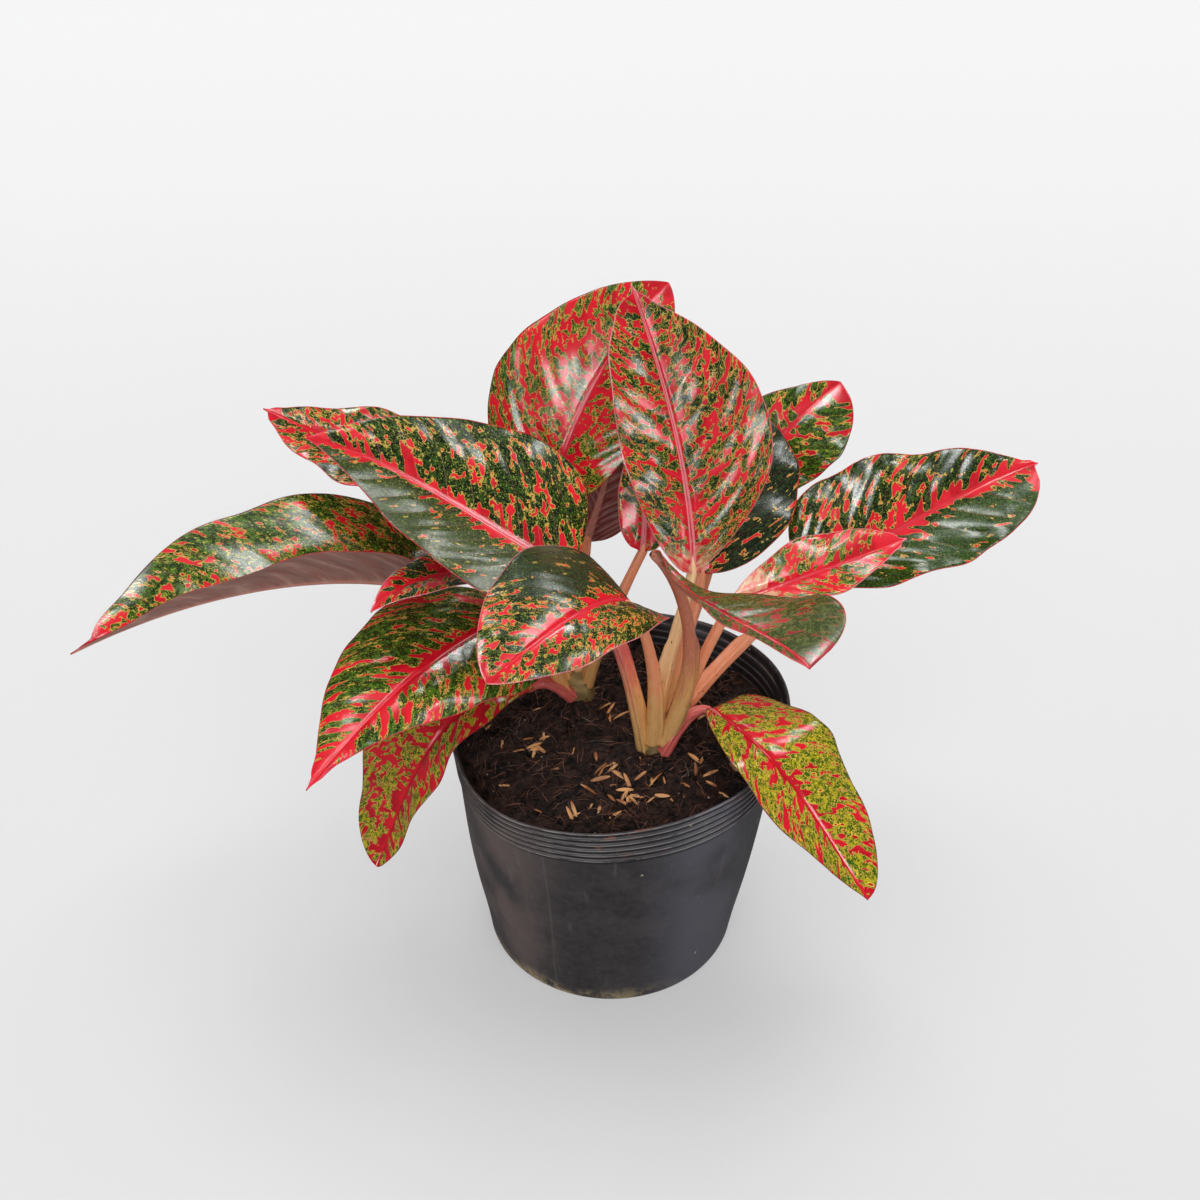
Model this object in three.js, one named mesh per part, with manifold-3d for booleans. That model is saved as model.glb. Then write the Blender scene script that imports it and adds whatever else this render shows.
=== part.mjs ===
// A potted red-speckled Chinese evergreen in a soft black nursery pot.
// Millimetres, +Z up, +X to the right and +Y away from the front.
// The origin is the centre of the pot's underside.
import * as THREE from "three";
import { mergeVertices } from "three/addons/utils/BufferGeometryUtils.js";
import Module from "manifold-3d";

const wasm = await Module();
wasm.setup();

// Clearance between pieces that touch.
const GAP = 0.3;

// The pot: a thin tapered shell, ribbed below the rim. It leans a little, its rim higher at the right.
const POT_HEIGHT = 150;
const POT_RIM_RADIUS = 90.5;
const POT_BASE_RADIUS = 69;
const POT_WALL = 1.5;
const POT_SIDES = 48;
const POT_LEAN = 2.5;
const RIM_TILT = 8;
const RIM_WAVE = 0.9;
const RIB_COUNT = 5;
const RIB_PITCH = 4.4;
const RIB_HEIGHT = 0.9;
const FIRST_RIB_DROP = 5;
const DRAIN_HOLES = 6;
const DRAIN_HOLE_RADIUS = 5;
const DRAIN_RING_RADIUS = 46;
const DRAIN_HOLE_SIDES = 12;

// The soil: packed almost to the rim, lower at the back.
const SOIL_TOP = 139;
const SOIL_DROP_BACK = 7;
const SOIL_ROUGHNESS = 1.4;

// The two short stems that the leaf stalks grow from.
const CROWN_SIDES = 14;
const CROWNS = {
  main: { foot: [22, -18, 108], top: [22, -17, 153], radius: 8.5, topRadius: 6 },
  rear: { foot: [-18, 28, 108], top: [-17, 30, 152], radius: 9, topRadius: 7 },
};

// Leaf stalks.
const STALK_SIDES = 8;
const STALK_STEPS = 9;
const STALK_FOOT_RADIUS = 4.4;
const STALK_TOP_RADIUS = 2.6;

// Leaf blades: their thickness, the midrib's depth below it, and the places across a blade, 0 at the midrib
// and 1 at the margin.
const BLADE_THICKNESS = 0.9;
const RIB_DEPTH = 2.2;
const ACROSS = [-1, -0.55, -0.08, 0, 0.08, 0.55, 1];
const BLADE_BASE_HALF_WIDTH = 1.6;
const BLADE_TIP_HALF_WIDTH = 0.6;
const RIGHT_WAVE_LAG = 1.3;

// Where along the midrib a half reaches farthest back behind the base, as a share of its length.
const LOBE_PLACE = 0.06;

// Each leaf: its midrib passes through base, third, twoThirds and tip. The blade's upper side faces
// `facing`, and `facingTip` at the tip where it twists. left and right are the greatest half-widths, seen
// along the midrib from above. fold lifts the halves from the midrib and curl bends them down again, in
// degrees. full and taper shape the outline near the base and near the tip, and lobe is how far a half
// reaches back behind the base, each for the left and the right half. point is the share of the length
// that is a narrow drawn-out tip. wave is the height of the margin's waves, how many there are, and where
// they start. The stalk runs from foot through the pulls bend1 and bend2 to the base.
const LEAVES = {
  far_left: {
    base: [-97, 44, 200], third: [-153, 30, 214], twoThirds: [-210, 2, 220], tip: [-268, -25, 209],
    facing: [0, 0.26, 0.97], left: 38, right: 51, fold: 46, curl: -10,
    full: [0.5, 0.38], taper: [1.35, 0.8], point: 0.06, wave: [1.5, 3, 0.4], steps: 16,
    foot: [-24, 29, 143], bend1: [-40, 34, 165], bend2: [-80, 50, 189],
  },
  left_upper: {
    base: [-20, 8, 235], third: [-59, 24, 251], twoThirds: [-107, 42, 272], tip: [-154, 50, 288],
    facing: [0, -0.26, 0.97], left: 42, right: 54, fold: 22, curl: -20,
    full: [0.5, 0.6], taper: [1.05, 1.15], wave: [1.5, 2.5, 1], steps: 16,
    foot: [17, -20, 144], bend1: [11, -22, 178], bend2: [5, -10, 220],
  },
  left_rear: {
    base: [-86, 75, 235], third: [-119, 88, 249], twoThirds: [-152, 100, 258], tip: [-187, 108, 272],
    facing: [0, -0.1, 0.97], left: 28, right: 36, fold: 16, curl: -20,
    full: [0.58, 0.45], taper: [0.6, 0.85], point: 0.03, wave: [2, 3, 2], steps: 12,
    foot: [-22, 34, 144], bend1: [-35, 45, 170], bend2: [-66, 66, 218],
  },
  rear_centre: {
    base: [-33, 70, 236], third: [-18, 88, 276], twoThirds: [3, 108, 310], tip: [30, 130, 335],
    facing: [-0.35, -0.8, 0.5], left: 51, right: 36, fold: 12, curl: -15,
    full: [0.55, 0.58], taper: [0.95, 0.72], wave: [1.5, 2.5, 0.5], steps: 16,
    foot: [-16, 34, 146], bend1: [-20, 45, 170], bend2: [-36, 62, 212],
  },
  upright: {
    base: [41, 8, 234], third: [36, 26, 278], twoThirds: [25, 44, 321], tip: [9, 62, 366],
    facing: [0.3, -0.85, 0.4], left: 30, right: 47, fold: 16, curl: -14,
    full: [0.6, 1], taper: [0.5, 1.05], point: 0.03, wave: [1.5, 3, 1.2], steps: 16,
    foot: [23, -17, 149], bend1: [24, -12, 180], bend2: [34, -3, 207],
  },
  right_dark: {
    base: [47, 30, 219], third: [54, 60, 238], twoThirds: [61, 88, 255], tip: [69, 114, 272],
    facing: [0.2, -0.5, 0.85], left: 22, right: 42, fold: 16, curl: -15,
    full: [0.6, 0.6], taper: [0.55, 0.55], wave: [1.5, 3, 0.2], steps: 12,
    foot: [25, -13, 149], bend1: [30, 0, 175], bend2: [44, 16, 202],
  },
  rear_right: {
    base: [62, 85, 215], third: [82, 100, 241], twoThirds: [100, 112, 261], tip: [125, 124, 279],
    facing: [0.2, -0.4, 0.9], left: 29, right: 31, fold: 12, curl: -15,
    full: [0.35, 0.9], taper: [0.8, 0.45], wave: [2, 3, 1.8], steps: 12,
    foot: [22, -11, 149], bend1: [36, 20, 172], bend2: [52, 62, 194],
  },
  right_large: {
    base: [101, 32, 213], third: [141, 48, 227], twoThirds: [183, 62, 246], tip: [223, 70, 261],
    facing: [0.1, -0.3, 0.95], left: 46, right: 37, fold: 16, curl: -20,
    full: [0.45, 0.8], taper: [1, 0.45], point: 0.02, wave: [3, 3, -1], steps: 16,
    foot: [28, -14, 146], bend1: [46, 0, 174], bend2: [82, 22, 192],
  },
  right_small: {
    base: [59, -10, 229], third: [87, 5, 230], twoThirds: [116, 17, 234], tip: [150, 28, 242],
    facing: [0, -0.2, 0.97], left: 20, right: 20, fold: 20, curl: -15,
    full: [1, 0.9], taper: [0.7, 0.8], point: 0.03, wave: [1.5, 2.5, 0.1], steps: 12,
    foot: [28, -18, 146], bend1: [37, -18, 176], bend2: [48, -15, 208],
  },
  right_twisted: {
    base: [21, -28, 273], third: [41, -55, 264], twoThirds: [64, -85, 269], tip: [84, -112, 270],
    facing: [0.4, 0.5, 0.6], facingTip: [0.05, -0.5, 1], left: 32, right: 11, fold: 20, curl: -10,
    full: [1.5, 0.5], taper: [0.4, 0.9], wave: [1.5, 2.5, 1], steps: 12,
    foot: [26, -21, 147], bend1: [44, -22, 185], bend2: [43, -28, 243],
  },
  centre_young: {
    base: [16, 35, 229], third: [17, 45, 247], twoThirds: [17, 58, 263], tip: [17, 69, 278],
    facing: [-0.2, -0.85, 0.4], left: 13, right: 14, fold: 15, curl: -15,
    full: [0.5, 0.5], taper: [0.7, 0.7], wave: [1, 2.5, 0], steps: 12,
    foot: [-13, 29, 146], bend1: [-9, 28, 168], bend2: [6, 31, 208],
  },
  rear_young: {
    base: [-13, 86, 201], third: [-8, 90, 218], twoThirds: [-3, 94, 235], tip: [0, 99, 254],
    facing: [0.2, 1, 0.1], left: 18, right: 11, fold: 12, curl: -10,
    full: [0.58, 0.58], taper: [0.92, 0.92], wave: [1.5, 3, 0], steps: 12,
    foot: [-16, 36, 146], bend1: [-18, 46, 165], bend2: [-16, 76, 184],
  },
  front_centre: {
    base: [9, -26, 242], third: [-11, -50, 256], twoThirds: [-34, -75, 256], tip: [-56, -98, 250],
    facing: [0, -0.25, 1], left: 29, right: 44, fold: 15, curl: -20,
    full: [0.6, 0.3], taper: [0.85, 0.7], lobe: [20, 12], wave: [1.2, 2.5, 0.6], steps: 16,
    foot: [20, -21, 148], bend1: [24, -22, 178], bend2: [21, -22, 218],
  },
  left_front: {
    base: [-51, 22, 199], third: [-87, -10, 196], twoThirds: [-116, -50, 192], tip: [-144, -95, 183],
    facing: [-0.1, -0.2, 1], left: 50, right: 45, fold: 15, curl: -25,
    full: [0.4, 0.5], taper: [1.35, 1], point: 0.04, wave: [1.2, 3, 0.3], steps: 16,
    foot: [-25, 25, 143], bend1: [-33, 25, 162], bend2: [-41, 25, 192],
  },
  left_small: {
    base: [-48, 38, 213], third: [-72, 22, 226], twoThirds: [-99, 2, 233], tip: [-119, -16, 228],
    facing: [0, -0.05, 1], left: 20, right: 18, fold: 24, curl: -20,
    full: [0.58, 0.58], taper: [0.92, 1.25], wave: [1, 2.5, 0], steps: 12,
    foot: [-24, 32, 146], bend1: [-30, 38, 168], bend2: [-36, 48, 196],
  },
  left_drooping: {
    base: [-43, 20, 152], third: [-82, -11, 155], twoThirds: [-108, -23, 116], tip: [-127, -35, 70],
    facing: [-0.3, -0.3, 0.9], left: 17, right: 43, fold: 12, curl: -15,
    full: [0.58, 0.58], taper: [0.62, 0.62], wave: [3, 3, 0.5], steps: 14,
    foot: [-22, 23, 142], bend1: [-30, 20, 152], bend2: [-36, 21, 156],
  },
  right_drooping: {
    base: [51, -12, 163], third: [79, -55, 166], twoThirds: [104, -72, 137], tip: [129, -88, 101],
    facing: [0.3, -0.3, 0.9], left: 36, right: 23, fold: 12, curl: -15,
    full: [0.35, 0.85], taper: [0.5, 1.1], lobe: [16, 0], wave: [2, 2.2, 2.6], steps: 14,
    foot: [27, -23, 143], bend1: [33, -22, 156], bend2: [43, -9, 164],
  },
};

// The materials' colours and roughness.
const FINISHES = {
  pot: [0x2b2a2c, 0.55],
  soil: [0x2a1d16, 0.95],
  crown: [0xb09a66, 0.6],
  stalk: [0xc78070, 0.45],
  blade: [0x8a3a30, 0.35],
};

const vec = ([x, y, z]) => new THREE.Vector3(x, y, z);
const radians = THREE.MathUtils.degToRad;

// A closed geometry as a solid, with coinciding corners merged and faces without area dropped.
function solidOf(geometry) {
  const bare = geometry.clone();
  bare.deleteAttribute("normal");
  bare.deleteAttribute("uv");
  const merged = mergeVertices(bare, 1e-4);
  const corners = merged.index.array;
  const triVerts = [];
  for (let i = 0; i < corners.length; i += 3) {
    const [a, b, c] = [corners[i], corners[i + 1], corners[i + 2]];
    if (a !== b && b !== c && a !== c) triVerts.push(a, b, c);
  }
  const vertProperties = merged.attributes.position.array;
  const mesh = new wasm.Mesh({ numProp: 3, vertProperties, triVerts: new Uint32Array(triVerts) });
  return new wasm.Manifold(mesh);
}

// A solid as a geometry: its largest body, in case a cut left a scrap.
function geometryOf(solid) {
  const bodies = solid.decompose().sort((a, b) => b.volume() - a.volume());
  const mesh = bodies[0].getMesh();
  const position = new Float32Array(mesh.numVert * 3);
  for (let i = 0; i < mesh.numVert; i++) {
    position.set(mesh.vertProperties.subarray(i * mesh.numProp, i * mesh.numProp + 3), i * 3);
  }
  const geometry = new THREE.BufferGeometry();
  geometry.setAttribute("position", new THREE.BufferAttribute(position, 3));
  geometry.setIndex(new THREE.BufferAttribute(new Uint32Array(mesh.triVerts), 1));
  return geometry;
}

// The soft pot's lean, tilted rim and slight wave, as a move of any point of the pot or the soil in it.
function sway(point) {
  const up = point.z / POT_HEIGHT;
  const angle = Math.atan2(point.y, point.x);
  const wave = 1 + (RIM_WAVE / POT_RIM_RADIUS) * Math.sin(3 * angle + 0.7) * up * up;
  const tilt = RIM_TILT * (point.x / POT_RIM_RADIUS) * up * up;
  point.set(point.x * wave + POT_LEAN * up, point.y * wave, point.z + tilt);
  return point;
}

// Turns a profile of [radius, height] corners about Z and then moves every point by `move`.
function turned(profile, sides, move) {
  const lathe = new THREE.LatheGeometry(profile.map(([r, z]) => new THREE.Vector2(r, z)), sides);
  lathe.rotateX(Math.PI / 2);
  const position = lathe.attributes.position;
  const point = new THREE.Vector3();
  for (let i = 0; i < position.count; i++) {
    point.fromBufferAttribute(position, i);
    move(point);
    position.setXYZ(i, point.x, point.y, point.z);
  }
  return lathe;
}

// The outer radius of the pot's plain wall at height z.
function wallRadius(z) {
  return THREE.MathUtils.lerp(POT_BASE_RADIUS, POT_RIM_RADIUS - 1, z / POT_HEIGHT);
}

function potGeometry() {
  const outside = [[0, 0], [POT_BASE_RADIUS - 4, 0], [POT_BASE_RADIUS - 1, 1.2], [wallRadius(5), 5]];
  outside.push([wallRadius(60), 60]);
  for (let i = RIB_COUNT - 1; i >= 0; i--) {
    const z = POT_HEIGHT - FIRST_RIB_DROP - i * RIB_PITCH;
    outside.push([wallRadius(z - 1.6), z - 1.6], [wallRadius(z) + RIB_HEIGHT, z]);
  }
  const lip = [
    [POT_RIM_RADIUS, POT_HEIGHT - 2], [POT_RIM_RADIUS, POT_HEIGHT], [POT_RIM_RADIUS - POT_WALL, POT_HEIGHT],
  ];
  const inside = [140, 60, 5].map((z) => [wallRadius(z) - POT_WALL, z]);
  const floor = [[POT_BASE_RADIUS - 4, POT_WALL], [0, POT_WALL]];
  let pot = solidOf(turned([...outside, ...lip, ...inside, ...floor], POT_SIDES, sway));
  for (let i = 0; i < DRAIN_HOLES; i++) {
    const angle = (i / DRAIN_HOLES) * 2 * Math.PI;
    const [radius, height] = [DRAIN_HOLE_RADIUS, 6 * POT_WALL];
    const hole = new THREE.CylinderGeometry(radius, radius, height, DRAIN_HOLE_SIDES);
    hole.rotateX(Math.PI / 2);
    hole.translate(DRAIN_RING_RADIUS * Math.cos(angle), DRAIN_RING_RADIUS * Math.sin(angle), 0);
    pot = pot.subtract(solidOf(hole));
  }
  return geometryOf(pot);
}

// The soil's top: lower at the back, with low lumps.
function soilHeight(x, y) {
  const back = SOIL_DROP_BACK * THREE.MathUtils.smoothstep(y + 0.4 * x, -10, 80);
  const lumps = Math.sin(x * 0.13 + 1.1) * Math.cos(y * 0.17 - 0.4) + 0.6 * Math.sin(x * 0.31 - y * 0.27);
  return SOIL_TOP - back + SOIL_ROUGHNESS * lumps;
}

function soilGeometry(holes) {
  const floor = POT_WALL + GAP;
  const reach = (z) => wallRadius(z) - POT_WALL - GAP;
  const sides = [[0, floor], [POT_BASE_RADIUS - 4.5, floor], [reach(5), 5.5], [reach(60), 60]];
  const top = [1, 0.86, 0.72, 0.56, 0.4, 0.24, 0.1, 0].map((share) => [reach(SOIL_TOP) * share, SOIL_TOP]);
  const shaped = turned([...sides, ...top], POT_SIDES, (point) => {
    if (point.z === SOIL_TOP) point.z = soilHeight(point.x, point.y);
    const edge = Math.hypot(point.x, point.y);
    const clear = reach(Math.min(point.z, SOIL_TOP));
    if (edge > clear) point.multiply(new THREE.Vector3(clear / edge, clear / edge, 1));
    sway(point);
  });
  return geometryOf(holes.reduce((soil, hole) => soil.subtract(hole), solidOf(shaped)));
}

// Closes rows of points into a solid: each row goes round the section, and the rows follow the piece.
function closedTube(rows) {
  const around = rows[0].length;
  const last = rows.length - 1;
  const position = rows.flat().flatMap((point) => point.toArray());
  const index = [];
  for (let i = 0; i < last; i++) {
    for (let j = 0; j < around; j++) {
      const next = (j + 1) % around;
      const [a, b] = [i * around + j, i * around + next];
      const [c, d] = [a + around, b + around];
      index.push(a, b, d, a, d, c);
    }
  }
  for (let j = 1; j < around - 1; j++) {
    index.push(0, j + 1, j);
    index.push(last * around, last * around + j, last * around + j + 1);
  }
  const geometry = new THREE.BufferGeometry();
  geometry.setAttribute("position", new THREE.Float32BufferAttribute(position, 3));
  geometry.setIndex(index);
  return geometry;
}

// A short stem: a straight tapered post with a domed top, `grown` larger all round.
function crownGeometry({ foot, top, radius, topRadius }, grown = 0) {
  const height = top[2] - foot[2];
  const wide = radius + grown;
  const narrow = topRadius + grown;
  const profile = [
    [0, -grown], [wide * 0.7, -grown], [wide, 6], [wide, height * 0.7], [narrow, height * 0.92],
    [narrow * 0.55, height + grown], [0, height + grown],
  ];
  return turned(profile, CROWN_SIDES, (point) => {
    const share = point.z / height;
    point.x += THREE.MathUtils.lerp(foot[0], top[0], share);
    point.y += THREE.MathUtils.lerp(foot[1], top[1], share);
    point.z += foot[2];
  });
}

// A leaf stalk: a tapered tube along a curve, wider across than deep where it sheathes the stem.
function stalkGeometry({ foot, bend1, bend2, base }, grown = 0) {
  const route = new THREE.CubicBezierCurve3(vec(foot), vec(bend1), vec(bend2), vec(base));
  const run = vec(base).sub(vec(foot));
  const across = new THREE.Vector3(-run.y, run.x, 0).normalize();
  const rows = [];
  for (let i = 0; i <= STALK_STEPS; i++) {
    const s = i / STALK_STEPS;
    const centre = route.getPoint(s);
    const along = route.getTangent(s);
    const side = across.clone().addScaledVector(along, -across.dot(along)).normalize();
    const inward = new THREE.Vector3().crossVectors(along, side);
    const radius = THREE.MathUtils.lerp(STALK_FOOT_RADIUS, STALK_TOP_RADIUS, s ** 0.7) + grown;
    const row = [];
    for (let j = 0; j < STALK_SIDES; j++) {
      const turn = (j / STALK_SIDES) * 2 * Math.PI;
      const point = centre.clone().addScaledVector(side, radius * (1.15 - 0.15 * s) * Math.cos(turn));
      row.push(point.addScaledVector(inward, radius * 0.92 * Math.sin(turn)));
    }
    rows.push(row);
  }
  return closedTube(rows);
}

// The curve through a leaf's four midrib points.
function midribOf({ base, third, twoThirds, tip }) {
  const [p0, p1, p2, p3] = [base, third, twoThirds, tip].map(vec);
  const blend = (...shares) =>
    [p0, p1, p2, p3].reduce((sum, p, k) => sum.addScaledVector(p, shares[k]), new THREE.Vector3());
  return new THREE.CubicBezierCurve3(p0, blend(-5 / 6, 3, -1.5, 1 / 3), blend(1 / 3, -1.5, 3, -5 / 6), p3);
}

// The share of the full half-width at s along the midrib: 1 where it is widest, 0 along a drawn-out tip.
function outlineShare(s, full, taper, point) {
  const along = Math.min(s / (1 - point), 1);
  const widest = full / (full + taper);
  return (along / widest) ** full * ((1 - along) / (1 - widest)) ** taper;
}

// The share of the lobe's reach at s along the midrib: 0 at the base, 1 at its place, then dying away.
function lobeShare(s) {
  const along = s / LOBE_PLACE;
  return along * Math.exp(1 - along);
}

// A blade, `grown` larger all round: the points of its upper face, and below each one the point of the lower
// face, where the midrib stands out.
function bladeGeometry(leaf, grown = 0) {
  const midrib = midribOf(leaf);
  const facing = vec(leaf.facing);
  const facingTip = vec(leaf.facingTip ?? leaf.facing);
  const [fold, curl] = [radians(leaf.fold), radians(leaf.curl)];
  const [waveHeight, waveCount, waveStart] = leaf.wave;
  const halves = [0, 1].map((half) => ({
    reach: [leaf.left, leaf.right][half],
    full: leaf.full[half],
    taper: leaf.taper[half],
    lobe: leaf.lobe?.[half] ?? 0,
    waveStart: waveStart + half * RIGHT_WAVE_LAG,
  }));
  const rows = [];
  for (let i = 0; i <= leaf.steps; i++) {
    const s = i / leaf.steps;
    const centre = midrib.getPoint(s);
    const along = midrib.getTangent(s);
    const side = new THREE.Vector3().crossVectors(along, facing.clone().lerp(facingTip, s)).normalize();
    const normal = new THREE.Vector3().crossVectors(side, along);
    const least = THREE.MathUtils.lerp(BLADE_BASE_HALF_WIDTH, BLADE_TIP_HALF_WIDTH, s) + grown;
    const upper = [];
    const lower = [];
    for (const v of ACROSS) {
      const half = halves[v < 0 ? 0 : 1];
      const away = Math.abs(v);
      const sign = Math.sign(v);
      const width = least + half.reach * outlineShare(s, half.full, half.taper, leaf.point ?? 0);
      const turn = fold + curl * away;
      const out = (width * (Math.sin(turn) - Math.sin(fold))) / curl;
      const rise = (width * (Math.cos(fold) - Math.cos(turn))) / curl;
      const phase = 2 * Math.PI * waveCount * s + half.waveStart;
      const ripple = waveHeight * Math.sin(phase) * Math.sin(Math.PI * s) * v * v;
      const point = centre.clone().addScaledVector(side, sign * out).addScaledVector(normal, rise + ripple);
      point.addScaledVector(along, grown * (2 * s - 1) - half.lobe * away ** 1.5 * lobeShare(s));
      const outward = normal.clone();
      if (v !== 0) outward.multiplyScalar(Math.cos(turn)).addScaledVector(side, -sign * Math.sin(turn));
      const depth = BLADE_THICKNESS + (v === 0 ? RIB_DEPTH * (1 - s) : 0) + grown;
      upper.push(point.clone().addScaledVector(outward, grown));
      lower.push(point.addScaledVector(outward, -depth));
    }
    rows.push([...upper, ...lower.reverse()]);
  }
  return closedBlade(rows, ACROSS.length);
}

// Closes rows of upper and lower points into a solid, with the same split of each cell on both faces.
function closedBlade(rows, across) {
  const around = 2 * across;
  const position = rows.flat().flatMap((point) => point.toArray());
  const index = [];
  const cell = (a, b, c, d) => index.push(a, b, c, a, c, d);
  const upper = (i, j) => i * around + j;
  const lower = (i, j) => i * around + around - 1 - j;
  const right = across - 1;
  for (let i = 0; i < rows.length - 1; i++) {
    for (let j = 0; j < right; j++) {
      cell(upper(i, j), upper(i, j + 1), upper(i + 1, j + 1), upper(i + 1, j));
      index.push(lower(i, j), lower(i + 1, j + 1), lower(i, j + 1));
      index.push(lower(i, j), lower(i + 1, j), lower(i + 1, j + 1));
    }
    cell(upper(i, right), lower(i, right), lower(i + 1, right), upper(i + 1, right));
    cell(upper(i, 0), upper(i + 1, 0), lower(i + 1, 0), lower(i, 0));
  }
  const end = rows.length - 1;
  for (let j = 0; j < right; j++) {
    cell(upper(0, j), lower(0, j), lower(0, j + 1), upper(0, j + 1));
    cell(upper(end, j), upper(end, j + 1), lower(end, j + 1), lower(end, j));
  }
  const geometry = new THREE.BufferGeometry();
  geometry.setAttribute("position", new THREE.Float32BufferAttribute(position, 3));
  geometry.setIndex(index);
  return geometry;
}

const plant = new THREE.Group();

function add(name, geometry, finish) {
  geometry.computeVertexNormals();
  const [color, roughness] = FINISHES[finish];
  const mesh = new THREE.Mesh(geometry, new THREE.MeshStandardMaterial({ color, roughness, metalness: 0 }));
  mesh.name = name;
  plant.add(mesh);
}

add("pot", potGeometry(), "pot");

// The crowns stand in plain holes in the soil.
const crownHoles = Object.values(CROWNS).map((crown) => solidOf(crownGeometry(crown, GAP)));
for (const [name, crown] of Object.entries(CROWNS)) {
  add(`crown_${name}`, geometryOf(solidOf(crownGeometry(crown))), "crown");
}

// Each stalk is cut clear of the crowns, of its own blade and of the stalks before it, so that they nest.
const cutters = [...crownHoles];
for (const [name, leaf] of Object.entries(LEAVES)) {
  const stalk = [...cutters, solidOf(bladeGeometry(leaf, GAP))].reduce(
    (rest, cutter) => rest.subtract(cutter),
    solidOf(stalkGeometry(leaf)),
  );
  cutters.push(solidOf(stalkGeometry(leaf, GAP)));
  add(`stalk_${name}`, geometryOf(stalk), "stalk");
  add(`blade_${name}`, geometryOf(solidOf(bladeGeometry(leaf))), "blade");
}

add("soil", soilGeometry(cutters), "soil");

export default plant;
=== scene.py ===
"""The looks of a potted red-speckled Chinese evergreen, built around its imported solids."""

import math
from dataclasses import dataclass

import bmesh
import bpy
import numpy as np
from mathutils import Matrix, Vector, noise


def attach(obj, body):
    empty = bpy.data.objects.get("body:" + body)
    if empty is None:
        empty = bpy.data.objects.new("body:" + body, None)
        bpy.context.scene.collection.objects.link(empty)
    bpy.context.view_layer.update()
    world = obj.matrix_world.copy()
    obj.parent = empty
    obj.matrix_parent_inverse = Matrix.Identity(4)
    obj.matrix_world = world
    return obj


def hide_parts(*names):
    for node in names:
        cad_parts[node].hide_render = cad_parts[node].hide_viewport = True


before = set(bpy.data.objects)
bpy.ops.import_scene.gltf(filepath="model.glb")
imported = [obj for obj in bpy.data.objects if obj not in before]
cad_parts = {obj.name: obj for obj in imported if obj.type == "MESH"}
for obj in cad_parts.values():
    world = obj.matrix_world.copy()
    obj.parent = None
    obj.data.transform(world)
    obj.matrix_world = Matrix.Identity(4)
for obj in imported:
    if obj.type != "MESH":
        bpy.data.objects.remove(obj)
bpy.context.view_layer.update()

# Shapes are worked out in millimetres, as the solids were, and scaled once when a mesh is made.
MM = 0.001

# The camera of the photograph: where it stands in metres, how far it looks down in degrees, and its lens in
# millimetres for a picture 36 mm wide.
CAMERA_PLACE = (-0.006, -0.648, 0.703)
CAMERA_DOWN = 36.5
CAMERA_LENS = 48.2
CAMERA_SENSOR = 36.0

# The pot, with the same driving sizes as its solid.
POT_HEIGHT = 150.0
POT_RIM_RADIUS = 90.5
POT_BASE_RADIUS = 69.0
POT_WALL = 1.5
POT_FOOT_HEIGHT = 5.0
POT_FOOT_ROUND = 4.0
POT_LEAN = 2.5
RIM_TILT = 8.0
RIM_WAVE = 0.9
RIB_COUNT = 5
RIB_PITCH = 4.4
RIB_HEIGHT = 0.9
RIB_HALF_WIDTH = 1.1
FIRST_RIB_DROP = 5.0
DENT_DEPTH = 0.9
POT_SEGMENTS = 256
DRAIN_HOLES = 6
DRAIN_HOLE_RADIUS = 5.0
DRAIN_RING_RADIUS = 46.0

# Where the moulding seam runs down the pot's side, as a share of the way round from the right.
SEAM_PLACE = 0.68

# The soil, packed almost to the rim and lower at the back.
SOIL_TOP = 139.0
SOIL_DROP_BACK = 7.0
SOIL_ROUGHNESS = 1.4
SOIL_CRUMB = 1.9
SOIL_GAP = 0.3
SOIL_SEGMENTS = 300

# The two short stems that the leaf stalks grow from, with the ring scars of old leaves at even heights.
CROWN_SCAR_PITCH = 5.5
# Each has its foot, its top, its radius and its radius near the top.
CROWNS = {
    "main": ((22, -18, 108), (22, -17, 153), 8.5, 6.0),
    "rear": ((-18, 28, 108), (-17, 30, 152), 9.0, 7.0),
}

# The leaf stalks, STALK_SINK below the midrib where they pass into it.
STALK_FOOT_RADIUS = 4.4
STALK_TOP_RADIUS = 2.6
STALK_SINK = 2.1
STALK_SEGMENTS = 40
STALK_STEPS = 64

# The blades. The cell is about the length of a mesh face.
BLADE_THICKNESS = 0.55
MARGIN_THICKNESS = 0.2
RIB_DEPTH = 2.3
BLADE_BASE_HALF_WIDTH = 1.6
BLADE_TIP_HALF_WIDTH = 0.25
BLADE_CELL = 1.5
POINT_HALF_WIDTH = 2.2
MARGIN_RAGGEDNESS = 0.014
MIDRIB_GROOVE = 0.75

# The side veins: how many to a half, how far they slant forwards and how far they sweep on near the margin.
SIDE_VEINS = 9
VEIN_SLANT = 0.75
VEIN_SWEEP = 0.35

# How much later the margin's waves come on the right half.
RIGHT_WAVE_LAG = 1.3

# Where along the midrib a half reaches farthest back behind the base, as a share of its length.
LOBE_PLACE = 0.06

# Husk chips lie on the soil in clusters, each with its x, y and size, and a few lie elsewhere.
HUSK_LENGTH = 9.0
HUSK_CLUSTERS = [
    (0, -42, 8), (5, -58, 7), (-16, -62, 5), (28, -60, 4), (26, -46, 4), (43, -31, 5), (44, -43, 6),
    (-62, -12, 4), (-57, -38, 4), (-39, -13, 6), (-25, -16, 5), (-1, 14, 5), (-8, 33, 5), (-6, -26, 4),
]
STRAY_HUSKS = 0.02

# The studio round the plant, in metres.
FLOOR_WIDTH = 14.0
BACKDROP_RADIUS = 6.9
BACKDROP_HEIGHT = 6.0
BACKDROP_SIDES = 64


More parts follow.
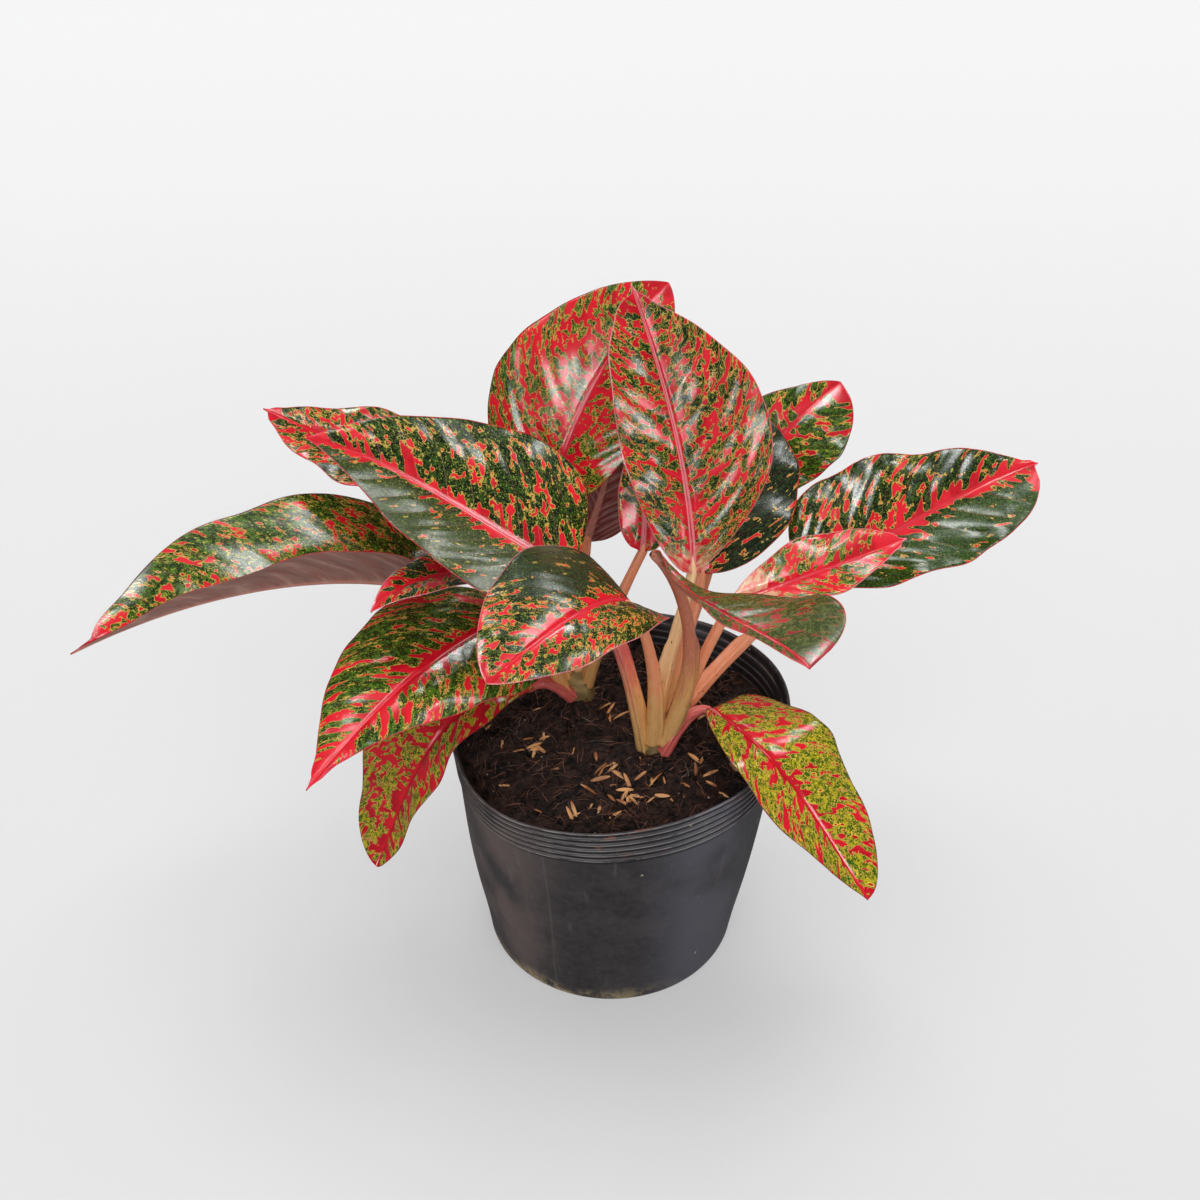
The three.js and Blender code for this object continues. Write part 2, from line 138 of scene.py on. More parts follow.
@dataclass
class Leaf:
    """A leaf as on its solid, in millimetres and degrees. Pairs are for the left and the right half."""

    # Four points that the midrib passes through, from base to tip.
    midrib: list
    # The foot of the leaf stalk, and two pulls that bend it on its way to the blade.
    stalk: list
    # The way the blade's upper side faces.
    facing: tuple
    # The greatest half-widths, seen along the midrib from above.
    left: float
    right: float
    # How far the halves are lifted at the midrib, and how much that grows (or shrinks) towards the margin.
    fold: float
    curl: float
    # The shape of the outline near the base and near the tip.
    full: tuple
    taper: tuple
    # The margin's waves: how high, how many, and where they start.
    wave: tuple
    # The way the upper side faces at the tip, if the blade twists.
    facing_tip: tuple = None
    # How far each half reaches back behind the base.
    lobe: tuple = (0, 0)
    # The share of the length that is a narrow drawn-out tip.
    point: float = 0.0


LEAVES = {
    "far_left": Leaf(
        [(-97, 44, 200), (-153, 30, 214), (-210, 2, 220), (-268, -25, 209)],
        [(-24, 29, 143), (-40, 34, 165), (-80, 50, 189)],
        (0, 0.26, 0.97), 38, 51, 46, -10, (0.5, 0.38), (1.35, 0.8), (1.5, 3, 0.4), point=0.06,
    ),
    "left_upper": Leaf(
        [(-20, 8, 235), (-59, 24, 251), (-107, 42, 272), (-154, 50, 288)],
        [(17, -20, 144), (11, -22, 178), (5, -10, 220)],
        (0, -0.26, 0.97), 42, 54, 22, -20, (0.5, 0.6), (1.05, 1.15), (1.5, 2.5, 1),
    ),
    "left_rear": Leaf(
        [(-86, 75, 235), (-119, 88, 249), (-152, 100, 258), (-187, 108, 272)],
        [(-22, 34, 144), (-35, 45, 170), (-66, 66, 218)],
        (0, -0.1, 0.97), 28, 36, 16, -20, (0.58, 0.45), (0.6, 0.85), (2, 3, 2), point=0.03,
    ),
    "rear_centre": Leaf(
        [(-33, 70, 236), (-18, 88, 276), (3, 108, 310), (30, 130, 335)],
        [(-16, 34, 146), (-20, 45, 170), (-36, 62, 212)],
        (-0.35, -0.8, 0.5), 51, 36, 12, -15, (0.55, 0.58), (0.95, 0.72), (1.5, 2.5, 0.5),
    ),
    "upright": Leaf(
        [(41, 8, 234), (36, 26, 278), (25, 44, 321), (9, 62, 366)],
        [(23, -17, 149), (24, -12, 180), (34, -3, 207)],
        (0.3, -0.85, 0.4), 30, 47, 16, -14, (0.6, 1), (0.5, 1.05), (1.5, 3, 1.2), point=0.03,
    ),
    "right_dark": Leaf(
        [(47, 30, 219), (54, 60, 238), (61, 88, 255), (69, 114, 272)],
        [(25, -13, 149), (30, 0, 175), (44, 16, 202)],
        (0.2, -0.5, 0.85), 22, 42, 16, -15, (0.6, 0.6), (0.55, 0.55), (1.5, 3, 0.2),
    ),
    "rear_right": Leaf(
        [(62, 85, 215), (82, 100, 241), (100, 112, 261), (125, 124, 279)],
        [(22, -11, 149), (36, 20, 172), (52, 62, 194)],
        (0.2, -0.4, 0.9), 29, 31, 12, -15, (0.35, 0.9), (0.8, 0.45), (2, 3, 1.8),
    ),
    "right_large": Leaf(
        [(101, 32, 213), (141, 48, 227), (183, 62, 246), (223, 70, 261)],
        [(28, -14, 146), (46, 0, 174), (82, 22, 192)],
        (0.1, -0.3, 0.95), 46, 37, 16, -20, (0.45, 0.8), (1, 0.45), (3, 3, -1), point=0.02,
    ),
    "right_small": Leaf(
        [(59, -10, 229), (87, 5, 230), (116, 17, 234), (150, 28, 242)],
        [(28, -18, 146), (37, -18, 176), (48, -15, 208)],
        (0, -0.2, 0.97), 20, 20, 20, -15, (1, 0.9), (0.7, 0.8), (1.5, 2.5, 0.1), point=0.03,
    ),
    "right_twisted": Leaf(
        [(21, -28, 273), (41, -55, 264), (64, -85, 269), (84, -112, 270)],
        [(26, -21, 147), (44, -22, 185), (43, -28, 243)],
        (0.4, 0.5, 0.6), 32, 11, 20, -10, (1.5, 0.5), (0.4, 0.9), (1.5, 2.5, 1), facing_tip=(0.05, -0.5, 1),
    ),
    "centre_young": Leaf(
        [(16, 35, 229), (17, 45, 247), (17, 58, 263), (17, 69, 278)],
        [(-13, 29, 146), (-9, 28, 168), (6, 31, 208)],
        (-0.2, -0.85, 0.4), 13, 14, 15, -15, (0.5, 0.5), (0.7, 0.7), (1, 2.5, 0),
    ),
    "rear_young": Leaf(
        [(-13, 86, 201), (-8, 90, 218), (-3, 94, 235), (0, 99, 254)],
        [(-16, 36, 146), (-18, 46, 165), (-16, 76, 184)],
        (0.2, 1, 0.1), 18, 11, 12, -10, (0.58, 0.58), (0.92, 0.92), (1.5, 3, 0),
    ),
    "front_centre": Leaf(
        [(9, -26, 242), (-11, -50, 256), (-34, -75, 256), (-56, -98, 250)],
        [(20, -21, 148), (24, -22, 178), (21, -22, 218)],
        (0, -0.25, 1), 29, 44, 15, -20, (0.6, 0.3), (0.85, 0.7), (1.2, 2.5, 0.6), lobe=(20, 12),
    ),
    "left_front": Leaf(
        [(-51, 22, 199), (-87, -10, 196), (-116, -50, 192), (-144, -95, 183)],
        [(-25, 25, 143), (-33, 25, 162), (-41, 25, 192)],
        (-0.1, -0.2, 1), 50, 45, 15, -25, (0.4, 0.5), (1.35, 1), (1.2, 3, 0.3), point=0.04,
    ),
    "left_small": Leaf(
        [(-48, 38, 213), (-72, 22, 226), (-99, 2, 233), (-119, -16, 228)],
        [(-24, 32, 146), (-30, 38, 168), (-36, 48, 196)],
        (0, -0.05, 1), 20, 18, 24, -20, (0.58, 0.58), (0.92, 1.25), (1, 2.5, 0),
    ),
    "left_drooping": Leaf(
        [(-43, 20, 152), (-82, -11, 155), (-108, -23, 116), (-127, -35, 70)],
        [(-22, 23, 142), (-30, 20, 152), (-36, 21, 156)],
        (-0.3, -0.3, 0.9), 17, 43, 12, -15, (0.58, 0.58), (0.62, 0.62), (3, 3, 0.5),
    ),
    "right_drooping": Leaf(
        [(51, -12, 163), (79, -55, 166), (104, -72, 137), (129, -88, 101)],
        [(27, -23, 143), (33, -22, 156), (43, -9, 164)],
        (0.3, -0.3, 0.9), 36, 23, 12, -15, (0.35, 0.85), (0.5, 1.1), (2, 2.2, 2.6), lobe=(16, 0),
    ),
}


def colour(red, green, blue):
    """A colour given as it looks on a screen, 0 to 255, as the renderer's linear numbers."""
    channels = [c / 255 for c in (red, green, blue)]
    return (*(c / 12.92 if c <= 0.04045 else ((c + 0.055) / 1.055) ** 2.4 for c in channels), 1.0)


CRIMSON = colour(186, 10, 28)
SCARLET = colour(216, 22, 40)
CORAL = colour(206, 48, 66)
BLUSH = colour(226, 132, 142)
OCHRE = colour(190, 156, 72)
WINE_RED = colour(132, 30, 40)

# The green grounds between the red patches: the deepest green, the usual green, and the light specks.
GROUNDS = {
    "deep": (colour(12, 24, 6), colour(36, 66, 16), colour(150, 160, 60)),
    "night": (colour(12, 22, 8), colour(34, 52, 22), colour(100, 110, 50)),
    "meadow": (colour(26, 46, 8), colour(64, 102, 22), colour(164, 168, 56)),
    "olive": (colour(58, 68, 32), colour(92, 100, 50), colour(142, 142, 70)),
    "lime": (colour(48, 86, 8), colour(178, 166, 26), colour(226, 196, 64)),
}

DUSKY = colour(156, 114, 104)
WINE = colour(112, 26, 34)
BROWN_ROSE = colour(168, 104, 76)
DULL_WINE = colour(132, 34, 36)
DULL_ROSE = colour(170, 54, 56)
DULL_EDGE = colour(128, 104, 58)


@dataclass
class Look:
    """How a leaf is marked. Shares run from 0 to 1."""

    # Its green, one of GROUNDS.
    ground: str
    # The share of red patches, and how far the red reaches from the midrib, in centimetres.
    red: float
    band: float
    # The share of the green that has ochre lines, and the share of light dots.
    busy: float
    specks: float
    # How small the marks are, and how far they are drawn out along the side veins.
    fine: float
    stretch: float
    # The colours of the midrib, of the midrib near the tip, of the margin and of the lower side.
    rib: tuple = CORAL
    rib_tip: tuple = SCARLET
    rim: tuple = CORAL
    under: tuple = DUSKY
    # The two reds, and the ochre around them.
    reds: tuple = (CRIMSON, SCARLET)
    edge: tuple = OCHRE
    # A plainer stretch: its half (1 right, -1 left), how far along the leaf it reaches, its green, how plain.
    # On left_upper the plain stretch's olive green is a painted sheen, the grey haze of its gloss.
    bare: tuple = (1, 0.0, "night", 0.0)
    # How far along the leaf the cream base reaches, and where the red tip begins.
    pale: float = 0.0
    tip: float = 0.9
    # How much softer the gloss is, and how far the pillows between the side veins stand out.
    dull: float = 0.0
    quilt: float = 0.6


LOOKS = {
    "far_left": Look("meadow", 0.25, 0.30, 0.5, 0.75, 1.0, 1.3, rim=WINE_RED, tip=0.84, quilt=0.3),
    # left_upper's olive plain stretch on its left half is a painted sheen: the grey-green haze of the gloss.
    "left_upper": Look("deep", 0.22, 0.85, 0.3, 0.80, 0.85, 1.5, rib=BLUSH, bare=(-1, 1.3, "olive", 0.5)),
    "left_rear": Look("deep", 0.38, 0.60, 0.7, 0.60, 1.0, 1.5),
    "rear_centre": Look("meadow", 0.45, 0.50, 0.9, 0.60, 1.1, 1.4, rim=WINE_RED),
    "upright": Look("deep", 0.41, 0.42, 0.8, 0.60, 1.2, 1.5, rib=BLUSH, rim=BLUSH, pale=0.06, rib_tip=BLUSH),
    "right_dark": Look("night", 0.26, 0.25, 0.1, 0.15, 0.9, 2.4, dull=0.07),
    "rear_right": Look("meadow", 0.30, 0.50, 0.4, 0.35, 0.8, 1.8, rim=WINE_RED),
    "right_large": Look("deep", 0.29, 0.80, 0.1, 0.20, 0.9, 2.0, bare=(1, 1.3, "meadow", 0.6), quilt=1.0),
    "right_small": Look("meadow", 0.44, 0.60, 0.7, 0.50, 1.1, 1.5, rim=BLUSH, pale=0.26),
    "right_twisted": Look(
        "olive", 0.26, 0.22, 0.05, 0.10, 1.3, 2.6, rib=CRIMSON, under=BROWN_ROSE, tip=0.97,
        reds=(DULL_WINE, DULL_ROSE), edge=DULL_EDGE, dull=0.06,
    ),
    "centre_young": Look("deep", 0.48, 0.40, 0.5, 0.40, 1.1, 1.6, rib=BLUSH, rim=BLUSH),
    "rear_young": Look("deep", 0.50, 0.40, 0.5, 0.40, 1.1, 1.6, rib=BLUSH, rim=BLUSH, under=WINE),
    "front_centre": Look("deep", 0.31, 0.45, 0.7, 0.65, 1.1, 1.3, rim=BLUSH, bare=(1, 0.62, "night", 0.9)),
    "left_front": Look("meadow", 0.27, 1.00, 0.4, 0.60, 0.9, 2.2, rib=SCARLET, tip=0.84),
    "left_small": Look("deep", 0.38, 0.60, 0.3, 0.40, 1.0, 1.8, rim=BLUSH),
    "left_drooping": Look("lime", 0.43, 0.50, 1.0, 0.80, 0.95, 1.5, rib=CRIMSON, rim=WINE_RED, tip=0.97),
    "right_drooping": Look("lime", 0.32, 0.40, 1.0, 0.80, 1.0, 2.2, rib=CRIMSON, rim=WINE_RED, tip=0.97),
}

TAN = colour(222, 172, 106)
CREAM = colour(236, 196, 142)
SALMON = colour(232, 146, 104)
ROSE = colour(208, 92, 88)
BROWN_PINK = colour(186, 106, 80)
STALK_TINTS = {
    "left_upper": (TAN, ROSE), "upright": (TAN, CREAM), "right_large": (SALMON, SALMON),
    "right_small": (BROWN_PINK, SALMON), "right_twisted": (TAN, BROWN_PINK), "right_drooping": (ROSE, ROSE),
    "left_drooping": (ROSE, ROSE),
}


class Value:
    """A number that nodes work out. It takes + - * / < > and abs as a plain number does."""

    def __init__(self, shader, socket):
        self.shader = shader
        self.socket = socket

    def __add__(self, other):
        return self.shader.math("ADD", self, other)

    def __sub__(self, other):
        return self.shader.math("SUBTRACT", self, other)

    def __mul__(self, other):
        return self.shader.math("MULTIPLY", self, other)

    def __truediv__(self, other):
        return self.shader.math("DIVIDE", self, other)

    def __lt__(self, other):
        return self.shader.math("LESS_THAN", self, other)

    def __gt__(self, other):
        return self.shader.math("GREATER_THAN", self, other)

    def __abs__(self):
        return self.shader.math("ABSOLUTE", self)

    def steps(self, low, high):
        """0 at low, 1 at high and beyond, and smooth between them."""
        inputs = {"Value": self, "From Min": low, "From Max": high}
        made = self.shader.node("ShaderNodeMapRange", inputs, interpolation_type="SMOOTHSTEP")
        return Value(self.shader, made[0])


class Nodes:
    """A node tree, filled and wired one call at a time."""

    def __init__(self, tree):
        self.tree = tree

    def put(self, socket, value):
        """Wires the socket to the value, or sets it if the value is a plain one."""
        value = value.socket if isinstance(value, Value) else value
        if isinstance(value, bpy.types.NodeSocket):
            self.tree.links.new(value, socket)
        else:
            socket.default_value = value

    def node(self, kind, inputs, **settings):
        """Adds a node and gives its outputs."""
        made = self.tree.nodes.new(kind)
        for name, value in settings.items():
            setattr(made, name, value)
        for name, value in inputs.items():
            self.put(made.inputs[name], value)
        return made.outputs


class Shader(Nodes):
    """A material, whose base colour is laid on coat by coat."""

    def __init__(self, name, base=None):
        self.material = bpy.data.materials.new(name)
        self.material.use_nodes = True
        super().__init__(self.material.node_tree)
        self.surface = self.tree.nodes["Principled BSDF"].inputs
        self.base = base

    def math(self, operation, a, b=0.0):
        return Value(self, self.node("ShaderNodeMath", {0: a, 1: b}, operation=operation)[0])

    def blend(self, share, a, b):
        """Colour a where share is 0 and b where it is 1."""
        return self.node("ShaderNodeMix", {0: share, 6: a, 7: b}, data_type="RGBA")[2]

    def coat(self, share, tint):
        """Lays a colour over the base, as far as share says."""
        self.base = self.blend(share, self.base, tint)

    def noise(self, vector, scale, detail=2.0, roughness=0.5, distortion=0.0):
        inputs = {"Vector": vector, "Scale": scale, "Detail": detail, "Roughness": roughness}
        return Value(self, self.node("ShaderNodeTexNoise", inputs | {"Distortion": distortion})[0])

    def cells(self, vector, scale):
        """Distance to the nearest point of a random scatter, and a random number for that point."""
        made = self.node("ShaderNodeTexVoronoi", {"Vector": vector, "Scale": scale})
        drawn = self.node("ShaderNodeSeparateColor", {0: made["Color"]})[0]
        return Value(self, made["Distance"]), Value(self, drawn)

    def vector(self, x, y, z=0.0):
        return self.node("ShaderNodeCombineXYZ", {0: x, 1: y, 2: z})[0]

    def parts(self, vector):
        """The three numbers of a vector."""
        return [Value(self, output) for output in self.node("ShaderNodeSeparateXYZ", {0: vector})]

    def map(self, name):
        """The two numbers of one of the piece's own maps."""
        return self.parts(self.node("ShaderNodeUVMap", {}, uv_map=name)[0])[:2]

    def place(self):
        """Where on the object a point is, in metres."""
        return self.node("ShaderNodeTexCoord", {})["Object"]

    def stretched(self, vector, *scale):
        return self.node("ShaderNodeMapping", {"Vector": vector, "Scale": scale})[0]

    def bump(self, height, strength, distance):
        return self.node("ShaderNodeBump", {"Height": height, "Strength": strength, "Distance": distance})[0]

    def finish(self, roughness, normal=None, **uniform):
        """Wires up the surface and gives the material."""
        self.put(self.surface["Base Color"], self.base)
        self.put(self.surface["Roughness"], roughness)
        if normal is not None:
            self.put(self.surface["Normal"], normal)
        for name, value in uniform.items():
            self.surface[name.replace("_", " ")].default_value = value
        return self.material


def leaf_marks(shader, seed, look):
    """Lays on ochre-edged red patches on speckled green, and gives where the leaf is bare of most marks."""
    along, across = shader.map("blade")
    veins, out = shader.map("veins")
    pleats, inset = shader.map("pleats")

    # True distances in centimetres across the side veins and along them, apart for the two halves.
    lie_across = veins * 0.8
    lie_along = out * 1.25 + veins * 0.6 + (across > 0.0) * 40.0
    grains = shader.vector(lie_across, lie_along, seed * 3.1)
    drawn_out = shader.vector(lie_across, lie_along * (1 / look.stretch), seed * 7.3)

    zones = shader.noise(drawn_out, 0.9, 1.0)
    coarse = shader.noise(drawn_out, 3.2 * look.fine, 0.5, 0.5, 0.6)
    small = shader.noise(grains, 8.5 * look.fine, 0.0)
    field = small * 0.13 + coarse * 0.64 + zones * 0.3

    lane = shader.vector(veins, lie_along * 0.12, seed)
    fingers = shader.noise(lane, 2.1, 1.0).steps(0.46, 0.66)
    narrowing = along * (-0.45 * look.band) + look.band
    band = out / ((fingers * 1.45 + 0.3) * narrowing)
    band = shader.math("EXPONENT", band * band * -1.0)
    field = field + band * 0.34 + along.steps(look.tip, 1.0) * 0.3
    field = field - (0.535 + 0.36 * (0.5 - look.red))
    half, bare_end, plain_green_and_sheen_haze, bareness = look.bare
    bare = (across * half).steps(0.04, 0.3)
    bare = bare * (zones * 0.5 + along).steps(bare_end + 0.3, bare_end) * bareness
    field = field - bare * 0.13

    deepest, usual, light = GROUNDS[look.ground]
    shader.base = shader.blend(shader.noise(grains, 4.0, 3.0, 0.7).steps(0.46, 0.6), deepest, usual)
    # The plain stretch's green; on left_upper it is olive, a painted sheen haze.
    plain = shader.noise(grains, 9.0, 2.0).steps(0.35, 0.65)
    plain = shader.blend(plain, GROUNDS[plain_green_and_sheen_haze][0], GROUNDS[plain_green_and_sheen_haze][1])
    shader.coat(bare * 0.75, plain)
    glints = shader.noise(grains, 17.0, 1.0).steps(0.58, 0.7)
    shader.coat(glints * 0.45, light)
    busy = (zones * 0.8 + field - bare * 0.3).steps(0.42 - 0.3 * look.busy, 0.46 - 0.3 * look.busy)
    lines = shader.noise(grains, 6.5 * look.fine, 0.0, 0.5, 0.4)
    lines = abs(lines - 0.53).steps(0.04, 0.025)
    ochre = shader.blend(small.steps(0.4, 0.6), OCHRE, light)
    shader.coat(lines * busy, ochre)
    distance, drawn = shader.cells(grains, 7.5)
    dot = distance < drawn * 0.22 + 0.14
    specks = bare * (-0.8 * look.specks) + look.specks
    dot = dot * (drawn < specks)
    shader.coat(dot * 0.9, light)
    distance, drawn = shader.cells(drawn_out, 3.4)
    reach = drawn * 1.2 + (0.3 * look.specks - 1.0) - bare * 0.3
    shader.coat(distance < reach, ochre)
    shader.coat(distance < reach - 0.13, CRIMSON)
    shader.coat(field.steps(-0.034, -0.026), look.edge)
    red = shader.blend(zones.steps(0.42, 0.6), *look.reds)
    sprinkle = shader.noise(grains, 12.0, 2.0).steps(0.5, 0.7)
    red = shader.blend(sprinkle * 0.35, red, CORAL)
    shader.coat(field.steps(-0.004, 0.004), red)

    if look.pale:
        washed = (coarse * 0.2 + along).steps(look.pale + 0.14, look.pale + 0.04)
        cream = shader.blend(coarse.steps(0.4, 0.6), colour(226, 176, 140), colour(222, 134, 118))
        shader.coat(washed * 0.85, cream)

    line = abs(shader.math("SINE", pleats * math.pi))
    line = line.steps(0.08, 0.0) * inset.steps(0.0, 1.2)
    shader.coat(line * 0.2, look.rib)
    rib_place = out / (along * -0.11 + 0.16)
    rib = rib_place.steps(1.05, 0.85) * rib_place.steps(0.12, 0.3)
    rib = rib * (shader.noise(grains, 9.0, 1.0) * 0.6 + 0.6)
    rib_colour = shader.blend(along.steps(0.35, 0.85), look.rib, look.rib_tip)
    shader.coat(rib, rib_colour)
    rim = inset.steps(0.06, 0.035) * 0.8
    shader.coat(rim, look.rim)
    return bare


def leaf_upper(name, seed, look):
    """The glossy upper side with its marks."""
    shader = Shader("leaf_upper_" + name)
    bare = leaf_marks(shader, seed, look)
    veins, out = shader.map("veins")
    grain = shader.vector(veins, out * 0.6, seed)
    height = shader.noise(grain, 22.0, 2.0, 0.6)
    roughness = shader.noise(grain, 3.0, 2.0) * 0.14 + (0.09 + look.dull) + bare * 0.13
    return shader.finish(roughness, shader.bump(height, 0.11, 0.0004), Specular_IOR_Level=0.5)


def leaf_lower(name, seed, look):
    """The duller lower side: the red shows through faintly, with painted shade in the furrows and a painted
    highlight on the crests between them, and the ribs paler.
    """
    shader = Shader("leaf_lower_" + name)
    along, across = shader.map("blade")
    veins, out = shader.map("veins")
    pleats, inset = shader.map("pleats")
    grain = shader.vector(veins * 2.3, out, seed * 7.3)
    red = shader.noise(grain, 1.0, 3.0).steps(0.45, 0.6) * 0.4
    shader.base = shader.blend(red, look.under, colour(158, 70, 70))
    streaks = shader.vector(veins * 9.0, out * 0.7, seed)
    shader.coat(shader.noise(streaks, 1.0, 2.0) * 0.35, colour(104, 90, 70))
    bend = shader.noise(shader.vector(veins, out, seed), 0.4, 1.0) * 1.5 + pleats
    wave = abs(shader.math("SINE", bend * math.pi))
    shown = shader.noise(grain, 0.9, 2.0).steps(0.38, 0.62)
    # Painted shade in the furrows between the side veins.
    furrow_shade = wave.steps(0.5, 0.0) * inset.steps(0.0, 0.8) * shown
    shader.coat(furrow_shade * 0.4, colour(98, 62, 54))
    # Painted highlight on the crests of the pillows.
    crest = wave.steps(0.75, 1.0) * shown
    shader.coat(crest * 0.42, colour(196, 160, 146))
    rib = (out / (along * -0.16 + 0.24)).steps(1.1, 0.5)
    shader.coat(rib * 0.7, colour(204, 136, 118))
    rim = abs(across).steps(0.96, 0.985)
    shader.coat(rim, colour(186, 78, 78))
    height = shader.noise(streaks, 4.0, 2.0) * 0.2 + wave
    return shader.finish(0.42, shader.bump(height, 0.35, 0.0012), Specular_IOR_Level=0.45)


def stalk_skin(name, seed, low, high):
    """Fleshy stalk: low colour at its foot and high above, faintly streaked, with brown specks and scars."""
    shader = Shader("stalk_skin_" + name)
    along, around = shader.map("blade")
    length, _ = shader.map("veins")
    lane = shader.vector(length * 0.35, around * 5.0, seed)
    climb = shader.noise(lane, 1.6, 2.0) * 0.5 + (along - 0.25)
    shader.base = shader.blend(climb.steps(0.15, 0.55), low, high)
    streaks = shader.noise(lane, 5.0, 3.0, 0.6)
    shader.coat(streaks.steps(0.5, 0.78) * 0.6, colour(232, 186, 146))
    shader.coat(streaks.steps(0.48, 0.26) * 0.45, colour(160, 74, 60))
    distance, drawn = shader.cells(shader.place(), 420.0)
    speck = distance < drawn * 0.55 - 0.36
    shader.coat(speck * 0.85, colour(58, 34, 26))
    distance, drawn = shader.cells(shader.vector(length, around * 1.6, seed), 1.3)
    scar = distance.steps(drawn * 0.5 - 0.34, drawn * 0.5 - 0.42)
    shader.coat(scar * 0.8, colour(96, 40, 30))
    return shader.finish(0.36, shader.bump(streaks, 0.2, 0.0006), Specular_IOR_Level=0.45)


def crown_bark():
    """Tan bark with brown patches and specks, darker towards the soil."""
    shader = Shader("crown_bark")
    place = shader.place()
    _, _, height = shader.parts(place)
    patches = shader.noise(place, 120.0, 4.0, 0.6)
    shader.base = shader.blend(patches.steps(0.38, 0.62), colour(122, 104, 58), colour(172, 146, 96))
    low = height.steps(0.148, 0.134)
    shader.coat(low * patches.steps(0.35, 0.55), colour(74, 50, 32))
    distance, drawn = shader.cells(place, 300.0)
    speck = distance < drawn * 0.6 - 0.25
    shader.coat(speck, colour(52, 32, 22))
    return shader.finish(0.6, shader.bump(patches, 0.5, 0.001), Specular_IOR_Level=0.35)


def pot_plastic():
    """Charcoal plastic, dusty brown at the left, with a painted bluish reflection down the right, painted
    highlights along the rib crests, painted shade between the ribs, and a dirty foot.
    """
    shader = Shader("pot_plastic")
    place = shader.place()
    side, _, _ = shader.parts(place)
    around, height = shader.map("turned")
    cloud = shader.noise(place, 16.0, 4.0, 0.6)
    blotch = shader.noise(place, 48.0, 4.0, 0.65)
    fine = shader.noise(place, 260.0, 3.0, 0.6)
    shader.base = shader.blend(fine.steps(0.3, 0.7), colour(44, 41, 42), colour(57, 53, 55))
    shader.coat(blotch.steps(0.42, 0.7) * 0.5, colour(74, 68, 68))
    left = (blotch * 0.03 + side).steps(0.0, -0.05)
    dust = left * cloud.steps(0.34, 0.58)
    shader.coat(dust * 0.8, colour(112, 96, 92))
    # Painted reflection: a soft pale bluish band down the right side, in place of the bright floor mirrored
    # in the plastic.
    right = side.steps(0.01, 0.045) * side.steps(0.085, 0.055)
    right = right * cloud.steps(0.25, 0.55)
    shader.coat(right * 0.6, colour(92, 93, 103))

    # The ribs: a painted highlight along each crest, broken here and there, and painted shade in the grooves
    # between them.
    lowest = POT_HEIGHT - FIRST_RIB_DROP - RIB_COUNT * RIB_PITCH
    turns = 20 * math.pi / RIB_PITCH
    turn = (height - (POT_HEIGHT - FIRST_RIB_DROP) / 10) * turns
    crest = shader.math("COSINE", turn)
    ribbed = height.steps(lowest / 10, (lowest + 2) / 10)
    # Painted highlight along the rib crests.
    rib_highlight = shader.noise(place, 60.0, 4.0, 0.7).steps(0.36, 0.56)
    rib_highlight = rib_highlight * crest.steps(0.82, 0.97)
    shader.coat(rib_highlight * ribbed * 0.85, colour(150, 144, 142))
    # Painted shade in the grooves between the ribs.
    groove = crest.steps(0.3, -0.7) * ribbed
    shader.coat(groove * 0.7, colour(22, 21, 23))

    # Dried earth along the foot at the left, faint scuffs, pale specks, rusty smears high up, and the seam.
    foot = (cloud * -2.4 + height).steps(0.2, -0.9) * side.steps(0.05, -0.02)
    grime = foot * shader.noise(place, 110.0, 5.0, 0.75).steps(0.4, 0.56)
    shader.coat(grime * 0.9, colour(164, 146, 108))
    streak = shader.stretched(place, 160.0, 160.0, 14.0)
    scuff = shader.noise(streak, 1.0, 3.0, 0.6).steps(0.62, 0.74)
    shader.coat(scuff * 0.16, colour(130, 124, 118))
    distance, drawn = shader.cells(place, 130.0)
    speck = distance < drawn * 0.8 - 0.66
    shader.coat(speck, colour(168, 156, 138))
    smear = shader.stretched(place, 40.0, 40.0, 90.0)
    smear = shader.noise(smear, 1.0, 4.0, 0.7).steps(0.62, 0.7)
    smear = smear * height.steps(11.5, 13.5)
    shader.coat(smear * 0.7, colour(124, 74, 54))
    seam = abs(around - SEAM_PLACE)
    seam = seam.steps(0.002, 0.0008) * height.steps(12.6, 12.2)
    shader.coat(seam * 0.22, colour(110, 102, 98))
    roughness = dust * 0.2 + 0.38
    relief = blotch * 3.0 + fine
    return shader.finish(roughness, shader.bump(relief, 0.15, 0.0006), Specular_IOR_Level=0.4)


def soil_earth():
    """Dark potting soil with brown lumps and fine fibres."""
    shader = Shader("soil_earth")
    place = shader.place()
    lumps = shader.noise(place, 160.0, 5.0, 0.65)
    shader.base = shader.blend(lumps.steps(0.35, 0.68), colour(11, 8, 7), colour(66, 43, 34))
    stretched = shader.stretched(place, 1.0, 3.5, 1.0)
    fibres = shader.noise(stretched, 300.0, 3.0, 0.7).steps(0.62, 0.72)
    shader.coat(fibres * 0.5, colour(104, 72, 54))
    height = shader.noise(place, 420.0, 4.0, 0.7)
    return shader.finish(0.85, shader.bump(height, 0.9, 0.0022), Specular_IOR_Level=0.3)


def litter_finish(name, dark, pale, roughness):
    """Loose bits, whose tone between dark and pale changes with their place, with a fine grain."""
    shader = Shader(name)
    place = shader.place()
    tone = shader.noise(place, 90.0, 1.0) * 1.2 - 0.1
    shader.base = shader.blend(tone.steps(0.3, 0.7), dark, pale)
    shader.coat(shader.noise(place, 900.0, 3.0) * 0.35, dark)
    return shader.finish(roughness, shader.bump(shader.noise(place, 1200.0, 2.0), 0.4, 0.0003))


def linked(name, data):
    """Puts a new object with this data into the scene."""
    made = bpy.data.objects.new(name, data)
    bpy.context.scene.collection.objects.link(made)
    return made


def from_bmesh(name, work):
    """Puts a finished bmesh into the scene as an object."""
    mesh = bpy.data.meshes.new(name)
    work.to_mesh(mesh)
    work.free()
    return linked(name, mesh)


